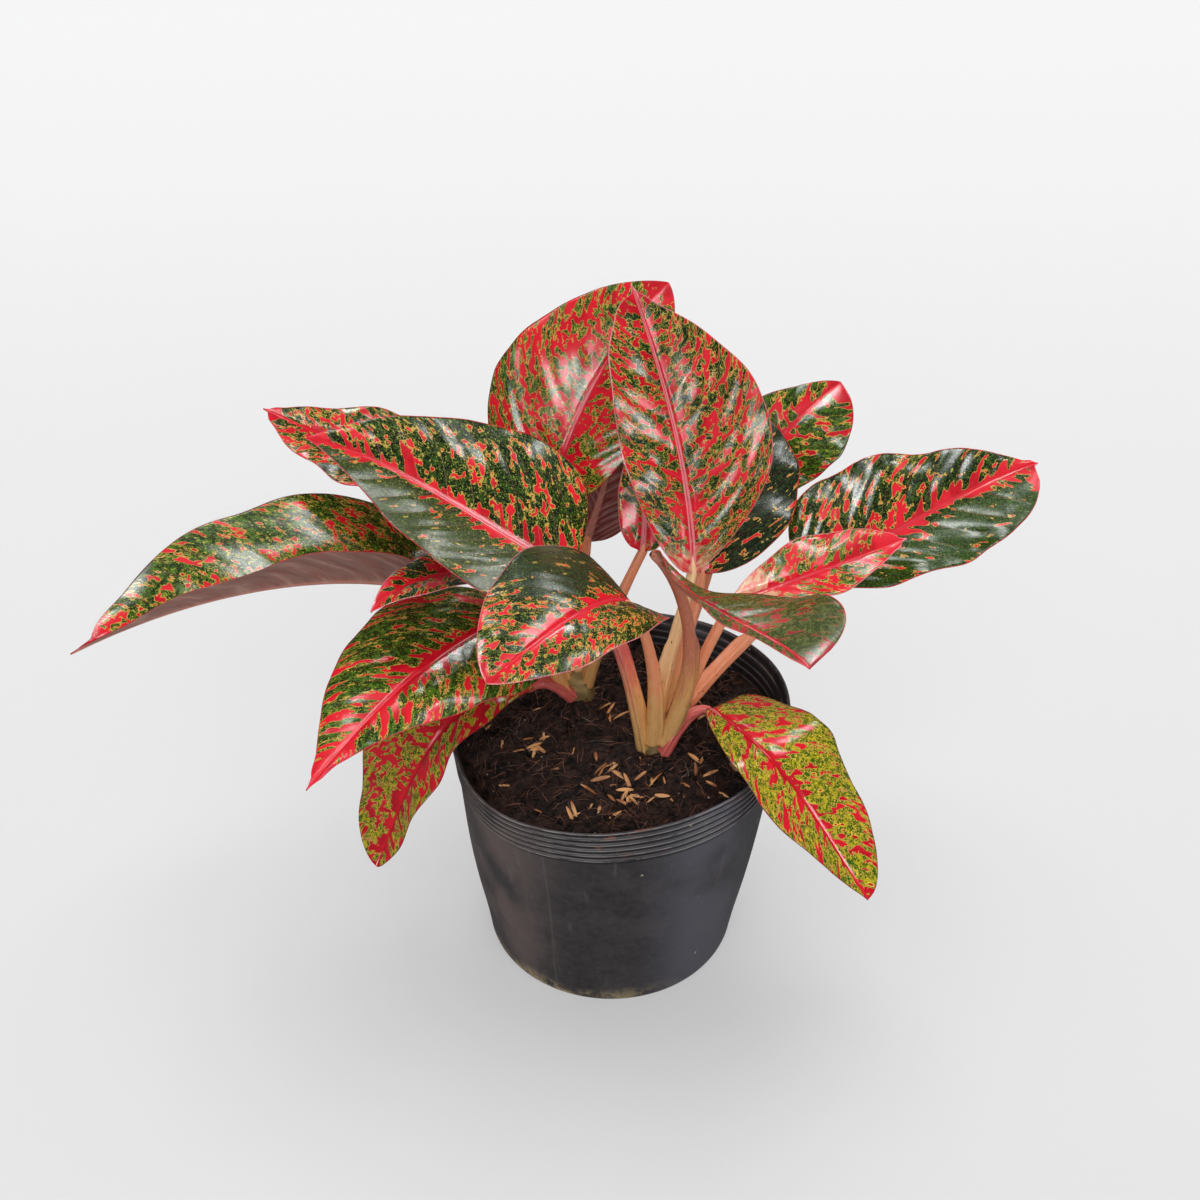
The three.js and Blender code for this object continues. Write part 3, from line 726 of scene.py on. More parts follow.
def made_mesh(name, points, faces, materials=(), maps=None, finish_of=None, weld=False):
    """A smooth mesh object from points in millimetres. maps holds two numbers a point for each map's name."""
    mesh = bpy.data.meshes.new(name)
    mesh.from_pydata((np.reshape(points, (-1, 3)).astype(float) * MM).tolist(), [], faces)
    for material in materials:
        mesh.materials.append(material)
    mesh.polygons.foreach_set("use_smooth", [True] * len(mesh.polygons))
    if finish_of is not None:
        mesh.polygons.foreach_set("material_index", finish_of)
    corners = np.empty(len(mesh.loops), np.int32)
    mesh.loops.foreach_get("vertex_index", corners)
    for map_name, values in (maps or {}).items():
        layer = mesh.uv_layers.new(name=map_name)
        layer.data.foreach_set("uv", np.reshape(values, (-1, 2)).astype(np.float32)[corners].ravel())
    if weld:
        work = bmesh.new()
        work.from_mesh(mesh)
        bmesh.ops.remove_doubles(work, verts=work.verts, dist=1e-7)
        work.to_mesh(mesh)
        work.free()
    mesh.update()
    return linked(name, mesh)


def stand_for(piece, slot, *nodes):
    """The piece rides on the plant's one body, in place of the named solids."""
    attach(piece, "root")
    if nodes:
        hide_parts(*nodes)
    return piece


def smooth(value, low, high):
    """0 below low, 1 above high, and smooth between them."""
    share = np.clip((value - low) / (high - low), 0, 1)
    return share * share * (3 - 2 * share)


def unit(rows):
    """The vectors, scaled to length 1."""
    return rows / np.linalg.norm(rows, axis=-1, keepdims=True)


def paired(first, second):
    """The two arrays side by side, as pairs."""
    return np.stack(np.broadcast_arrays(first, second), -1)


def run_along(path):
    """How far along the path each of its places lies."""
    return np.concatenate([[0], np.cumsum(np.linalg.norm(np.diff(path, axis=0), axis=1))])


def ripples(points, seed, size, waves=7):
    """A soft random field of about -1 to 1: a few waves about `size` long, drawn from the seed."""
    draw = np.random.default_rng(seed)
    directions = unit(draw.normal(size=(waves, points.shape[-1])))
    lengths = size * draw.uniform(0.7, 1.5, waves)
    starts = draw.uniform(0, 2 * math.pi, waves)
    return np.sin(points @ directions.T * (2 * math.pi / lengths) + starts).sum(-1) / waves**0.5


def curve(corners, share):
    """Places along a cubic curve, and the directions it runs in there."""
    a, b, c, d = (np.asarray(corner, float) for corner in corners)
    t = share[:, None]
    place = (1 - t) ** 3 * a + 3 * (1 - t) ** 2 * t * b + 3 * (1 - t) * t**2 * c + t**3 * d
    slope = (1 - t) ** 2 * (b - a) + 2 * (1 - t) * t * (c - b) + t**2 * (d - c)
    return place, unit(slope)


def midrib_curve(points):
    """The corners of the cubic curve that passes through four midrib points."""
    base, third, two_thirds, tip = (np.asarray(point, float) for point in points)
    first = -5 / 6 * base + 3 * third - 1.5 * two_thirds + tip / 3
    second = base / 3 - 1.5 * third + 3 * two_thirds - 5 / 6 * tip
    return base, first, second, tip


def midrib_frame(leaf, share):
    """Along the midrib: the places, and there the directions along, to the right and up from the blade."""
    centre, along = curve(midrib_curve(leaf.midrib), share)
    facing = np.asarray(leaf.facing, float)
    turned = np.asarray(leaf.facing_tip or leaf.facing, float)
    facing = facing + (turned - facing) * share[:, None]
    side = unit(np.cross(along, facing))
    return centre, along, side, np.cross(side, along)


def skin_faces(rows, around, closed=True):
    """Faces between rows of points that go round a section."""
    last = around if closed else around - 1
    faces = []
    for i in range(rows - 1):
        for j in range(last):
            a, b = i * around + j, i * around + (j + 1) % around
            faces.append((a, b, b + around, a + around))
    return faces


def tube_faces(rows, around):
    """Faces of a tube with a cap at each end."""
    caps = [tuple(reversed(range(around))), tuple(range((rows - 1) * around, rows * around))]
    return skin_faces(rows, around) + caps


def flipped(faces, shift=0):
    """The faces turned over, on points that come shift places later."""
    return [tuple(shift + corner for corner in reversed(face)) for face in faces]


def outline_share(s, full, taper, point):
    """The share of the full half-width at s along the midrib, nothing along a drawn-out tip."""
    along = np.minimum(s / (1 - point), 1)
    widest = full / (full + taper)
    return (along / widest) ** full * ((1 - along) / (1 - widest)) ** taper


def blade_rim(rows, across):
    """The faces that join a blade's upper sheet to its lower one, all round."""
    under = rows * across
    rim = []
    for i in range(rows - 1):
        a, b = i * across, (i + 1) * across
        rim.append((a, b, b + under, a + under))
        a, b = a + across - 1, b + across - 1
        rim.append((a, a + under, b + under, b))
    for a in range(across - 1):
        b = under - across + a
        rim.append((a, a + under, a + 1 + under, a + 1))
        rim.append((b, b + 1, b + 1 + under, b + under))
    return rim


def blade(name, leaf, seed):
    """A leaf blade with its sunken midrib, quilted side veins, keel and thin waved margin."""
    fine = np.linspace(0, 1, 200)
    path, _ = curve(midrib_curve(leaf.midrib), fine)
    run = run_along(path)
    length = run[-1]
    steps = int(length / BLADE_CELL)
    half = int(max(leaf.left, leaf.right) / BLADE_CELL)
    s = 1 - (1 - np.linspace(0, 1, steps + 1)) ** 1.15
    v = np.linspace(-1, 1, 2 * half + 1)
    v = np.sign(v) * np.abs(v) ** 1.25
    centre, along, side, normal = midrib_frame(leaf, s)

    # down runs from the base to the tip, and reach and sign from the left margin to the right one.
    down = s[:, None]
    reach, sign = np.abs(v), np.sign(v)
    point = leaf.point
    halves = [outline_share(down, full, taper, point) for full, taper in zip(leaf.full, leaf.taper)]
    share = np.where(v < 0, leaf.left * halves[0], leaf.right * halves[1])
    lobe_shape = down / LOBE_PLACE * np.exp(1 - down / LOBE_PLACE)
    back = np.where(v < 0, *leaf.lobe) * reach**1.5 * lobe_shape
    least = BLADE_BASE_HALF_WIDTH + (BLADE_TIP_HALF_WIDTH - BLADE_BASE_HALF_WIDTH) * s
    if point:
        drawn_out = smooth(s, 1 - 3 * point, 1 - point) * (1 - smooth(s, 1 - 1.4 * point, 1.0))
        least = least + POINT_HALF_WIDTH * drawn_out
    ragged = 1 + MARGIN_RAGGEDNESS * ripples(paired(s * length, s * 0), seed + 50, 22)
    width = least[:, None] + share * ragged[:, None]
    fold, curl = math.radians(leaf.fold), math.radians(leaf.curl)
    turn = fold + curl * reach
    out = width * (np.sin(turn) - math.sin(fold)) / curl
    rise = width * (math.cos(fold) - np.cos(turn)) / curl
    height, count, start = leaf.wave
    phase = 2 * math.pi * count * down + start + np.where(v < 0, 0, RIGHT_WAVE_LAG)
    rise = rise + height * np.sin(phase) * np.sin(math.pi * down) * reach**2

    run_here = np.interp(s, fine, run)[:, None]
    away = width * reach
    veins = run_here - back - away * (VEIN_SLANT + VEIN_SWEEP * reach**2)
    order = veins / length
    pleats = SIDE_VEINS * (1.55 * order - 0.55 * order * np.abs(order)) + np.where(v < 0, 0, 0.45)
    quilt = np.abs(np.sin(math.pi * pleats)) ** 0.42 - 0.7
    lesser = np.sin(6 * math.pi * pleats)
    spread = smooth(reach, 0.03, 0.25) * (1 - 0.6 * smooth(reach, 0.7, 1.0))
    spread = spread * smooth(down, 0.0, 0.12) * (1 - smooth(down, 0.82, 1.0))
    size = min(1.0, length / 150)
    flat = paired(veins, away * sign)
    pillows = LOOKS[name].quilt * quilt
    relief = (pillows + 0.03 * lesser + 0.35 * ripples(flat, seed, 34)) * spread * size
    groove_width = 0.5 + 1.5 * (1 - down)
    groove = -MIDRIB_GROOVE * (1 - 0.8 * down) * np.exp(-((away / groove_width) ** 2))
    shoulder = 0.22 * np.exp(-(((away - 1.9 * groove_width) / groove_width) ** 2)) * (1 - down)

    place = centre[:, None] + (sign * out)[..., None] * side[:, None] + rise[..., None] * normal[:, None]
    place = place - back[..., None] * along[:, None]
    cosine = np.where(reach > 0, np.cos(turn), 1.0)
    sine = np.where(reach > 0, np.sin(turn), 0.0)
    outward = cosine[..., None] * normal[:, None] - (sign * sine)[..., None] * side[:, None]
    upper = place + (relief + (groove + shoulder) * smooth(down, -0.02, 0.03))[..., None] * outward
    keel_width = 0.7 + 1.9 * (1 - down) ** 0.7
    keel = (0.35 + RIB_DEPTH * (1 - down)) * np.exp(-((away / keel_width) ** 2))
    thick = MARGIN_THICKNESS + (BLADE_THICKNESS - MARGIN_THICKNESS) * (1 - reach**4)
    lower = place + (relief - thick - keel)[..., None] * outward

    rows, across = upper.shape[:2]
    top = skin_faces(rows, across, closed=False)
    bottom = flipped(top, rows * across)
    rim = blade_rim(rows, across)
    maps = {
        "blade": paired(down, v),
        "veins": paired(veins, away) / 10,
        "pleats": paired(pleats, width * (1 - reach) / 10),
    }
    maps = {key: np.stack([values, values]) for key, values in maps.items()}
    look = LOOKS[name]
    finishes = [leaf_upper(name, seed, look), leaf_lower(name, seed, look)]
    finish_of = [0] * len(top) + [1] * len(bottom) + [0] * len(rim)
    made = made_mesh("leaf_" + name, [upper, lower], top + bottom + rim, finishes, maps, finish_of)
    return stand_for(made, "blade", "blade_" + name)


def stalk(name, leaf, seed):
    """A leaf stalk: channelled above, with the two edges of its sheath up to about half its length."""
    draw = np.random.default_rng(seed + 300)
    base = np.asarray(leaf.midrib[0], float)
    t = np.linspace(0, 1, STALK_STEPS + 1)
    centre, along = curve([*leaf.stalk, base], t)
    under = np.linspace(0.012, 0.075, 6)
    rib_place, rib_along, _, rib_up = midrib_frame(leaf, under)
    _, _, _, up = midrib_frame(leaf, np.zeros(1))
    centre = centre - up * (STALK_SINK * t[:, None] ** 3)
    centre = np.concatenate([centre, rib_place - rib_up * 2.0])
    along = np.concatenate([along, rib_along])
    run = base - np.asarray(leaf.stalk[0], float)
    across = np.array([-run[1], run[0], 0.0])
    side = unit(across - (along @ across)[:, None] * along)
    inward = np.cross(along, side)
    t = np.concatenate([t, 1 + under])
    radius = STALK_FOOT_RADIUS + (STALK_TOP_RADIUS - STALK_FOOT_RADIUS) * np.minimum(t, 1) ** 0.7
    radius = radius * (1 - 0.55 * smooth(t, 1.0, 1.075))
    radius = radius * (1 + 0.02 * np.sin(t * 23 + seed))

    turn = np.arange(STALK_SEGMENTS) / STALK_SEGMENTS * 2 * math.pi
    from_above = np.arctan2(np.sin(turn - math.pi / 2), np.cos(turn - math.pi / 2))
    channel = 0.2 * np.exp(-((from_above / 0.42) ** 2))
    edges = np.exp(-(((np.abs(from_above) - 0.8) / 0.17) ** 2))
    sheath_end = draw.uniform(0.42, 0.62)
    sheath = 1 - smooth(t, sheath_end - 0.02, sheath_end + 0.05)
    wing = (0.42 + 0.1 * np.sin(9 * t + seed)) * sheath
    grow = 1 - channel[None, :] * smooth(t, 0.05, 0.3)[:, None] + edges[None, :] * wing[:, None]
    wide = (radius * (1.15 - 0.15 * np.minimum(t, 1)))[:, None] * grow * np.cos(turn)
    deep = (radius * 0.92)[:, None] * grow * np.sin(turn)
    rows = centre[:, None] + wide[..., None] * side[:, None] + deep[..., None] * inward[:, None]

    low, high = STALK_TINTS.get(name, (TAN, SALMON))
    seam = np.abs(from_above) / math.pi
    maps = {"blade": paired(t[:, None], seam), "veins": paired(run_along(centre)[:, None] / 10, seam)}
    faces = tube_faces(len(t), STALK_SEGMENTS)
    made = made_mesh("stalk_" + name, rows, faces, [stalk_skin(name, seed, low, high)], maps)
    return stand_for(made, "stalk", "stalk_" + name)


def turned(profile, segments, move):
    """Turns a profile of [radius, height] corners about the upright axis, and moves the points."""
    profile = np.asarray(profile, float)
    angle = np.arange(segments) / segments * 2 * math.pi
    ring = paired(np.cos(angle), np.sin(angle))
    points = np.empty((len(profile), segments, 3))
    points[..., :2] = profile[:, None, :1] * ring[None]
    points[..., 2] = profile[:, 1:]
    return move(points).reshape(-1, 3), skin_faces(len(profile), segments)


def crown(name, foot, top, wide, top_wide, bark, seed):
    """A short stem with the ring scars of old leaves and a domed top."""
    foot, top = np.asarray(foot, float), np.asarray(top, float)
    height = top[2] - foot[2]
    z = np.concatenate([[0, 0, 2], np.linspace(6, height * 0.97, 60), [height]])
    share = z / height
    radius = wide + (top_wide - wide) * smooth(share, 0.6, 0.95)
    scars = 0.45 * np.abs(np.sin(math.pi * z / CROWN_SCAR_PITCH)) ** 0.4
    radius = (radius - 0.4 + scars) * (1 - smooth(share, 0.93, 1.0) * 0.45)
    radius[0], radius[1], radius[-1] = 0.0, wide * 0.7, 0.0

    def shape(points):
        lumps = ripples(points, seed, 11) * 0.35
        points[..., :2] *= 1 + lumps[..., None] / wide
        lean = (points[..., 2] / height)[..., None]
        points[..., :2] += foot[:2] + (top - foot)[:2] * lean
        points[..., 2] += foot[2]
        return points

    points, faces = turned(paired(radius, z), 64, shape)
    made = made_mesh("stem_" + name, points, faces, [bark], weld=True)
    return stand_for(made, "crown", "crown_" + name)


def sway(points):
    """The soft pot's lean, tilted rim and slight wave."""
    x, y, z = points[..., 0], points[..., 1], points[..., 2]
    up = z / POT_HEIGHT
    wave = 1 + RIM_WAVE / POT_RIM_RADIUS * np.sin(3 * np.arctan2(y, x) + 0.7) * up**2
    tilt = RIM_TILT * x / POT_RIM_RADIUS * up**2
    return np.stack([x * wave + POT_LEAN * up, y * wave, z + tilt], -1)


def wall_radius(z):
    """The pot's outer radius between the ribs."""
    return POT_BASE_RADIUS + (POT_RIM_RADIUS - 1 - POT_BASE_RADIUS) * z / POT_HEIGHT


def pot():
    """The pot's thin shell with its ribs, rolled lip, soft dents and drain holes."""
    z = np.concatenate([np.linspace(POT_FOOT_HEIGHT, 118, 46), np.linspace(119, POT_HEIGHT - 2.2, 110)])
    ribs = np.zeros_like(z)
    for i in range(RIB_COUNT):
        middle = POT_HEIGHT - FIRST_RIB_DROP - i * RIB_PITCH
        ribs = ribs + RIB_HEIGHT * np.exp(-(((z - middle) / RIB_HALF_WIDTH) ** 4))
    wall = paired(wall_radius(z) + ribs, z)
    foot_turn = np.linspace(0, math.pi / 2, 8)[:-1]
    foot_centre = wall_radius(POT_FOOT_HEIGHT) - POT_FOOT_ROUND
    foot = paired(foot_centre + POT_FOOT_ROUND * np.sin(foot_turn), POT_FOOT_HEIGHT * (1 - np.cos(foot_turn)))
    lip_turn = np.linspace(0, math.pi, 12)
    lip_round = POT_WALL / 2
    lip_centre = (POT_RIM_RADIUS - lip_round, POT_HEIGHT - lip_round)
    lip = lip_round * paired(np.cos(lip_turn), np.sin(lip_turn)) + lip_centre
    step = [(wall_radius(143) - POT_WALL, 143.5), (wall_radius(142) - POT_WALL - 0.5, 142.5)]
    heights = np.linspace(140, POT_FOOT_HEIGHT, 40)
    inside = paired(wall_radius(heights) - POT_WALL - 0.4 * smooth(heights, 120, 140), heights)
    rings = np.linspace(0, foot_centre, 12)
    profile = np.concatenate([
        paired(rings[:-1], 0), foot, wall, lip, step, inside, paired(rings[::-1], POT_WALL),
    ])

    def shape(points):
        x, y, z = points[..., 0], points[..., 1], points[..., 2]
        angle = np.arctan2(y, x)
        field = ripples(np.stack([x, y, z * 0.8], -1), 11, 85) * DENT_DEPTH
        creases = ripples(np.stack([np.cos(angle) * 60, np.sin(angle) * 60, z * 0.15], -1), 5, 24) * 0.22
        amount = (field + creases) * smooth(z, 4, 40)
        radius = np.hypot(x, y)
        grow = 1 + amount / np.maximum(radius, 20)
        return sway(np.stack([x * grow, y * grow, z], -1))

    points, faces = turned(profile, POT_SEGMENTS, shape)
    heights = np.repeat(profile[:, 1] / 10, POT_SEGMENTS)
    around = np.tile(np.arange(POT_SEGMENTS) / POT_SEGMENTS, len(profile))
    maps = {"turned": paired(around, heights)}
    made = made_mesh("pot_shell", points, faces, [pot_plastic()], maps, weld=True)
    work = bmesh.new()
    for i in range(DRAIN_HOLES):
        angle = i / DRAIN_HOLES * 2 * math.pi
        ring = bmesh.ops.create_cone(
            work, cap_ends=True, segments=32, radius1=DRAIN_HOLE_RADIUS * MM, radius2=DRAIN_HOLE_RADIUS * MM,
            depth=8 * POT_WALL * MM,
        )
        place = Vector((math.cos(angle), math.sin(angle), 0)) * DRAIN_RING_RADIUS * MM
        bmesh.ops.translate(work, verts=ring["verts"], vec=place)
    cutter = from_bmesh("drain_holes", work)
    cut = made.modifiers.new("drain", "BOOLEAN")
    cut.operation = "DIFFERENCE"
    cut.solver = "EXACT"
    cut.object = cutter
    bake_modifiers(made)
    bpy.data.objects.remove(cutter)
    return stand_for(made, "pot_plastic", "pot")


def bake_modifiers(piece):
    """Replaces the piece's mesh with what its modifiers make of it, and removes them."""
    bpy.context.view_layer.update()
    seen = piece.evaluated_get(bpy.context.evaluated_depsgraph_get())
    piece.data = bpy.data.meshes.new_from_object(seen)
    piece.modifiers.clear()


def soil_height(x, y):
    """The soil's top without its crumbs, as on its solid."""
    back = SOIL_DROP_BACK * smooth(y + 0.4 * x, -10, 80)
    lumps = np.sin(x * 0.13 + 1.1) * np.cos(y * 0.17 - 0.4) + 0.6 * np.sin(x * 0.31 - y * 0.27)
    return SOIL_TOP - back + SOIL_ROUGHNESS * lumps


def crumbs(points):
    """Crumbly lumps for the soil's top, in millimetres."""
    rows = points.reshape(-1, 3)
    tall = np.empty(len(rows))
    for i, (x, y, _) in enumerate(rows):
        big = noise.noise(Vector((x * 0.11, y * 0.11, 3.0)))
        small = noise.fractal(Vector((x * 0.32, y * 0.32, 8.0)), 0.8, 2.2, 3)
        ridge = 1 - abs(noise.noise(Vector((x * 0.24, y * 0.24, 21.0)))) * 2
        tall[i] = big * 0.9 + small * 0.9 + ridge * 0.45
    return tall.reshape(points.shape[:-1]) * SOIL_CRUMB


def soil(earth):
    """The soil as one body: its sides follow the pot's inner wall and its top is crumbly."""
    floor = POT_WALL + SOIL_GAP
    clear = floor + 0.9
    reach = wall_radius(SOIL_TOP) - clear
    heights = np.linspace(6, SOIL_TOP - 1, 12)
    sides = [(0, floor), (POT_BASE_RADIUS - 6, floor), *paired(wall_radius(heights) - clear, heights)]
    rings = reach * np.linspace(1, 0, 110)
    profile = np.concatenate([sides, paired(rings, SOIL_TOP)])
    top_rows = len(sides)

    def shape(points):
        top = points[top_rows:]
        edge = np.hypot(top[..., 0], top[..., 1])
        inner = 1 - smooth(edge, reach - 5, reach)
        top[..., 2] = soil_height(top[..., 0], top[..., 1]) + crumbs(top) * (0.3 + 0.7 * inner)
        over = np.hypot(top[..., 0], top[..., 1]) / np.minimum(wall_radius(top[..., 2]) - clear, reach)
        top[..., :2] /= np.maximum(over, 1)[..., None]
        points[top_rows - 1, :, 2] = np.minimum(points[top_rows - 1, :, 2], top[0, :, 2] - 1)
        return sway(points)

    points, faces = turned(profile, SOIL_SEGMENTS, shape)
    made = made_mesh("soil_bed", points, faces, [earth], weld=True)
    return stand_for(made, "soil", "soil")


def bed_surface():
    """A coarser copy of the soil's top to lay bits on: `litter` is how densely husks lie, and `even` is 1."""
    draw = np.random.default_rng(4)
    rings = np.linspace(3, wall_radius(SOIL_TOP) - 7, 34)

    def shape(points):
        points[..., 2] = soil_height(points[..., 0], points[..., 1]) + crumbs(points)
        return sway(points)

    points, faces = turned(paired(rings[::-1], SOIL_TOP), 96, shape)
    made = made_mesh("soil_top", points, faces)
    density = np.full(len(points), STRAY_HUSKS)
    for x, y, size in HUSK_CLUSTERS:
        density += np.exp(-((points[:, 0] - x) ** 2 + (points[:, 1] - y) ** 2) / size**2)
    density *= draw.uniform(0.6, 1.0, len(points))
    for map_name, values in (("litter", np.minimum(density, 1)), ("even", np.ones(len(points)))):
        layer = made.data.attributes.new(map_name, "FLOAT", "POINT")
        layer.data.foreach_set("value", values.astype(np.float32))
    return made


def litter_tree():
    """Geometry nodes that lay copies of one shape on a surface, each turned, tipped and sized at random."""
    tree = bpy.data.node_groups.new("litter", "GeometryNodeTree")
    sockets = {
        "Surface": "Geometry", "Shape": "Object", "Weight": "String", "Per square metre": "Float",
        "Smallest": "Float", "Largest": "Float", "Tip": "Float", "Lift": "Float", "Seed": "Int",
        "Finish": "Material",
    }
    for name, kind in sockets.items():
        tree.interface.new_socket(name, in_out="INPUT", socket_type="NodeSocket" + kind)
    tree.interface.new_socket("Litter", in_out="OUTPUT", socket_type="NodeSocketGeometry")
    node = Nodes(tree).node
    given = tree.nodes.new("NodeGroupInput").outputs
    seed = given["Seed"]

    def vector(x, y, z):
        return node("ShaderNodeCombineXYZ", {0: x, 1: y, 2: z})[0]

    def drawn(kind, low, high):
        """A random number (FLOAT) or vector (FLOAT_VECTOR) for each copy."""
        first, output = {"FLOAT": (2, 1), "FLOAT_VECTOR": (0, 0)}[kind]
        inputs = {first: low, first + 1: high, "Seed": seed}
        return node("FunctionNodeRandomValue", inputs, data_type=kind)[output]

    weight = node("GeometryNodeInputNamedAttribute", {"Name": given["Weight"]}, data_type="FLOAT")[0]
    density = node("ShaderNodeMath", {0: weight, 1: given["Per square metre"]}, operation="MULTIPLY")[0]
    spread = node(
        "GeometryNodeDistributePointsOnFaces", {"Mesh": given["Surface"], "Density": density, "Seed": seed}
    )
    shape = node("GeometryNodeObjectInfo", {"Object": given["Shape"]})["Geometry"]
    size = drawn("FLOAT", given["Smallest"], given["Largest"])
    copies = node(
        "GeometryNodeInstanceOnPoints",
        {"Points": spread["Points"], "Instance": shape, "Rotation": spread["Rotation"], "Scale": size},
    )[0]
    tip = given["Tip"]
    low = node("ShaderNodeMath", {0: tip, 1: -1.0}, operation="MULTIPLY")[0]
    tips = drawn("FLOAT_VECTOR", vector(low, low, 0.0), vector(tip, tip, 0.0))
    spin = vector(0.0, 0.0, drawn("FLOAT", 0.0, 2 * math.pi))
    copies = node("GeometryNodeRotateInstances", {"Instances": copies, "Rotation": spin})[0]
    copies = node("GeometryNodeRotateInstances", {"Instances": copies, "Rotation": tips})[0]
    lift = vector(0.0, 0.0, given["Lift"])
    copies = node("GeometryNodeTranslateInstances", {"Instances": copies, "Translation": lift})[0]
    litter = node("GeometryNodeRealizeInstances", {"Geometry": copies})[0]
    litter = node("GeometryNodeSetMaterial", {"Geometry": litter, "Material": given["Finish"]})[0]
    tree.links.new(litter, tree.nodes.new("NodeGroupOutput").inputs[0])
    return tree


def strew(name, tree, surface, seed, shape, finish, weight, per_metre, sizes, tip, lift):
    """Lays copies of the shape over the surface as one piece."""
    piece = linked(name, surface.data.copy())
    nodes = piece.modifiers.new("litter", "NODES")
    nodes.node_group = tree
    wanted = {
        "Shape": shape, "Weight": weight, "Per square metre": per_metre, "Seed": seed, "Finish": finish,
        "Smallest": sizes[0], "Largest": sizes[1], "Tip": tip, "Lift": lift * MM,
    }
    for item in tree.interface.items_tree:
        if item.in_out == "INPUT" and item.name in wanted:
            nodes[item.identifier] = wanted[item.name]
    bake_modifiers(piece)
    return stand_for(piece, "soil")


def husk_shape():
    """A husk chip: a thin pointed boat."""
    rows, around = 7, 8
    points = []
    for i in range(rows):
        share = i / (rows - 1)
        swell = math.sin(math.pi * (0.06 + 0.88 * share)) ** 0.7
        for j in range(around):
            turn = j / around * 2 * math.pi
            x = HUSK_LENGTH * (share - 0.5)
            y = swell * math.cos(turn)
            z = 0.45 * swell * math.sin(turn) + 0.35 * (1 - (2 * share - 1) ** 2) + 0.25 * math.cos(turn) ** 2
            points.append((x, y, z))
    return made_mesh("husk_shape", points, flipped(tube_faces(rows, around)))


def fibre_shape(name, length, thick, bends, seed):
    """A thin curved fibre."""
    draw = np.random.default_rng(seed)
    share = np.linspace(0, 1, 9)
    sway_y = np.cumsum(draw.normal(0, bends, len(share)))
    rise_z = 0.12 * length * np.sin(math.pi * share) * draw.uniform(0.4, 1.0)
    turn = np.arange(4) / 4 * 2 * math.pi
    radius = (thick * (1 - 0.6 * share))[:, None]
    points = np.empty((len(share), 4, 3))
    points[..., 0] = (length * (share - 0.5))[:, None]
    points[..., 1] = sway_y[:, None] + radius * np.cos(turn)
    points[..., 2] = rise_z[:, None] + radius * np.sin(turn)
    return made_mesh(name, points, flipped(tube_faces(len(share), 4)))


def lump_shape(name, seed, flat):
    """A rough crumb about 2 mm across. flat is its height as a share of its width."""
    work = bmesh.new()
    bmesh.ops.create_icosphere(work, subdivisions=1, radius=1.0)
    for vertex in work.verts:
        push = noise.noise(vertex.co * 1.7 + Vector((seed * 3.1, 0, 0)))
        vertex.co *= 1 + 0.45 * push
        vertex.co.z *= flat
        vertex.co *= MM
    return from_bmesh(name, work)


def soil_litter(earth):
    """Crumbs, fibres, husk chips and grit on the soil."""
    tree = litter_tree()
    surface = bed_surface()
    husk = litter_finish("husk_straw", colour(160, 96, 50), colour(242, 182, 116), 0.6)
    root = litter_finish("root_fibre", colour(84, 48, 34), colour(150, 98, 72), 0.7)
    pale_root = litter_finish("pale_root_fibre", colour(112, 92, 80), colour(172, 152, 136), 0.7)
    grit = litter_finish("grit_stone", colour(120, 104, 90), colour(196, 184, 168), 0.7)
    crumb, chip, husk_chip = lump_shape("crumb_shape", 1, 0.8), lump_shape("grit_shape", 2, 0.7), husk_shape()
    short, long = fibre_shape("short_fibre", 7, 0.16, 0.25, 3), fibre_shape("long_fibre", 16, 0.14, 0.9, 8)

    # Each kind's shape, finish and map of where it lies, how many lie on a square metre, the smallest and the
    # largest scale, how far they tip in radians, and how far they are lifted in millimetres.
    kinds = {
        "soil_crumbs": (crumb, earth, "even", 130000, (0.5, 2.6), 1.2, 0.0),
        "soil_fibres": (short, root, "even", 44000, (0.5, 1.5), 0.6, 1.1),
        "soil_long_fibres": (long, pale_root, "even", 2400, (0.6, 1.3), 0.25, 0.6),
        "soil_husks": (husk_chip, husk, "litter", 46000, (0.55, 1.15), 0.5, 1.5),
        "soil_grit": (chip, grit, "even", 1800, (0.3, 0.8), 1.0, 0.6),
    }
    for seed, (name, kind) in enumerate(kinds.items(), 1):
        strew(name, tree, surface, seed, *kind)
    for tool in (surface, crumb, chip, husk_chip, short, long):
        bpy.data.objects.remove(tool)


def floor():
    """The pale studio floor. It glows a little, so that the shadows on it stay faint."""
    bpy.ops.mesh.primitive_plane_add(size=FLOOR_WIDTH)
    plane = bpy.context.object
    plane.name = "studio_floor"
    shader = Shader("studio_paper", (0.36, 0.36, 0.363, 1.0))
    _, depth, _ = shader.parts(shader.place())
    glow = shader.blend(depth.steps(-0.6, 1.8), (0.33, 0.33, 0.335, 1.0), (0.46, 0.46, 0.46, 1.0))
    shader.put(shader.surface["Emission Color"], glow)
    shader.finish(0.9, Specular_IOR_Level=0.05, Emission_Strength=1.0)
    plane.data.materials.append(shader.material)
    plane.visible_glossy = False


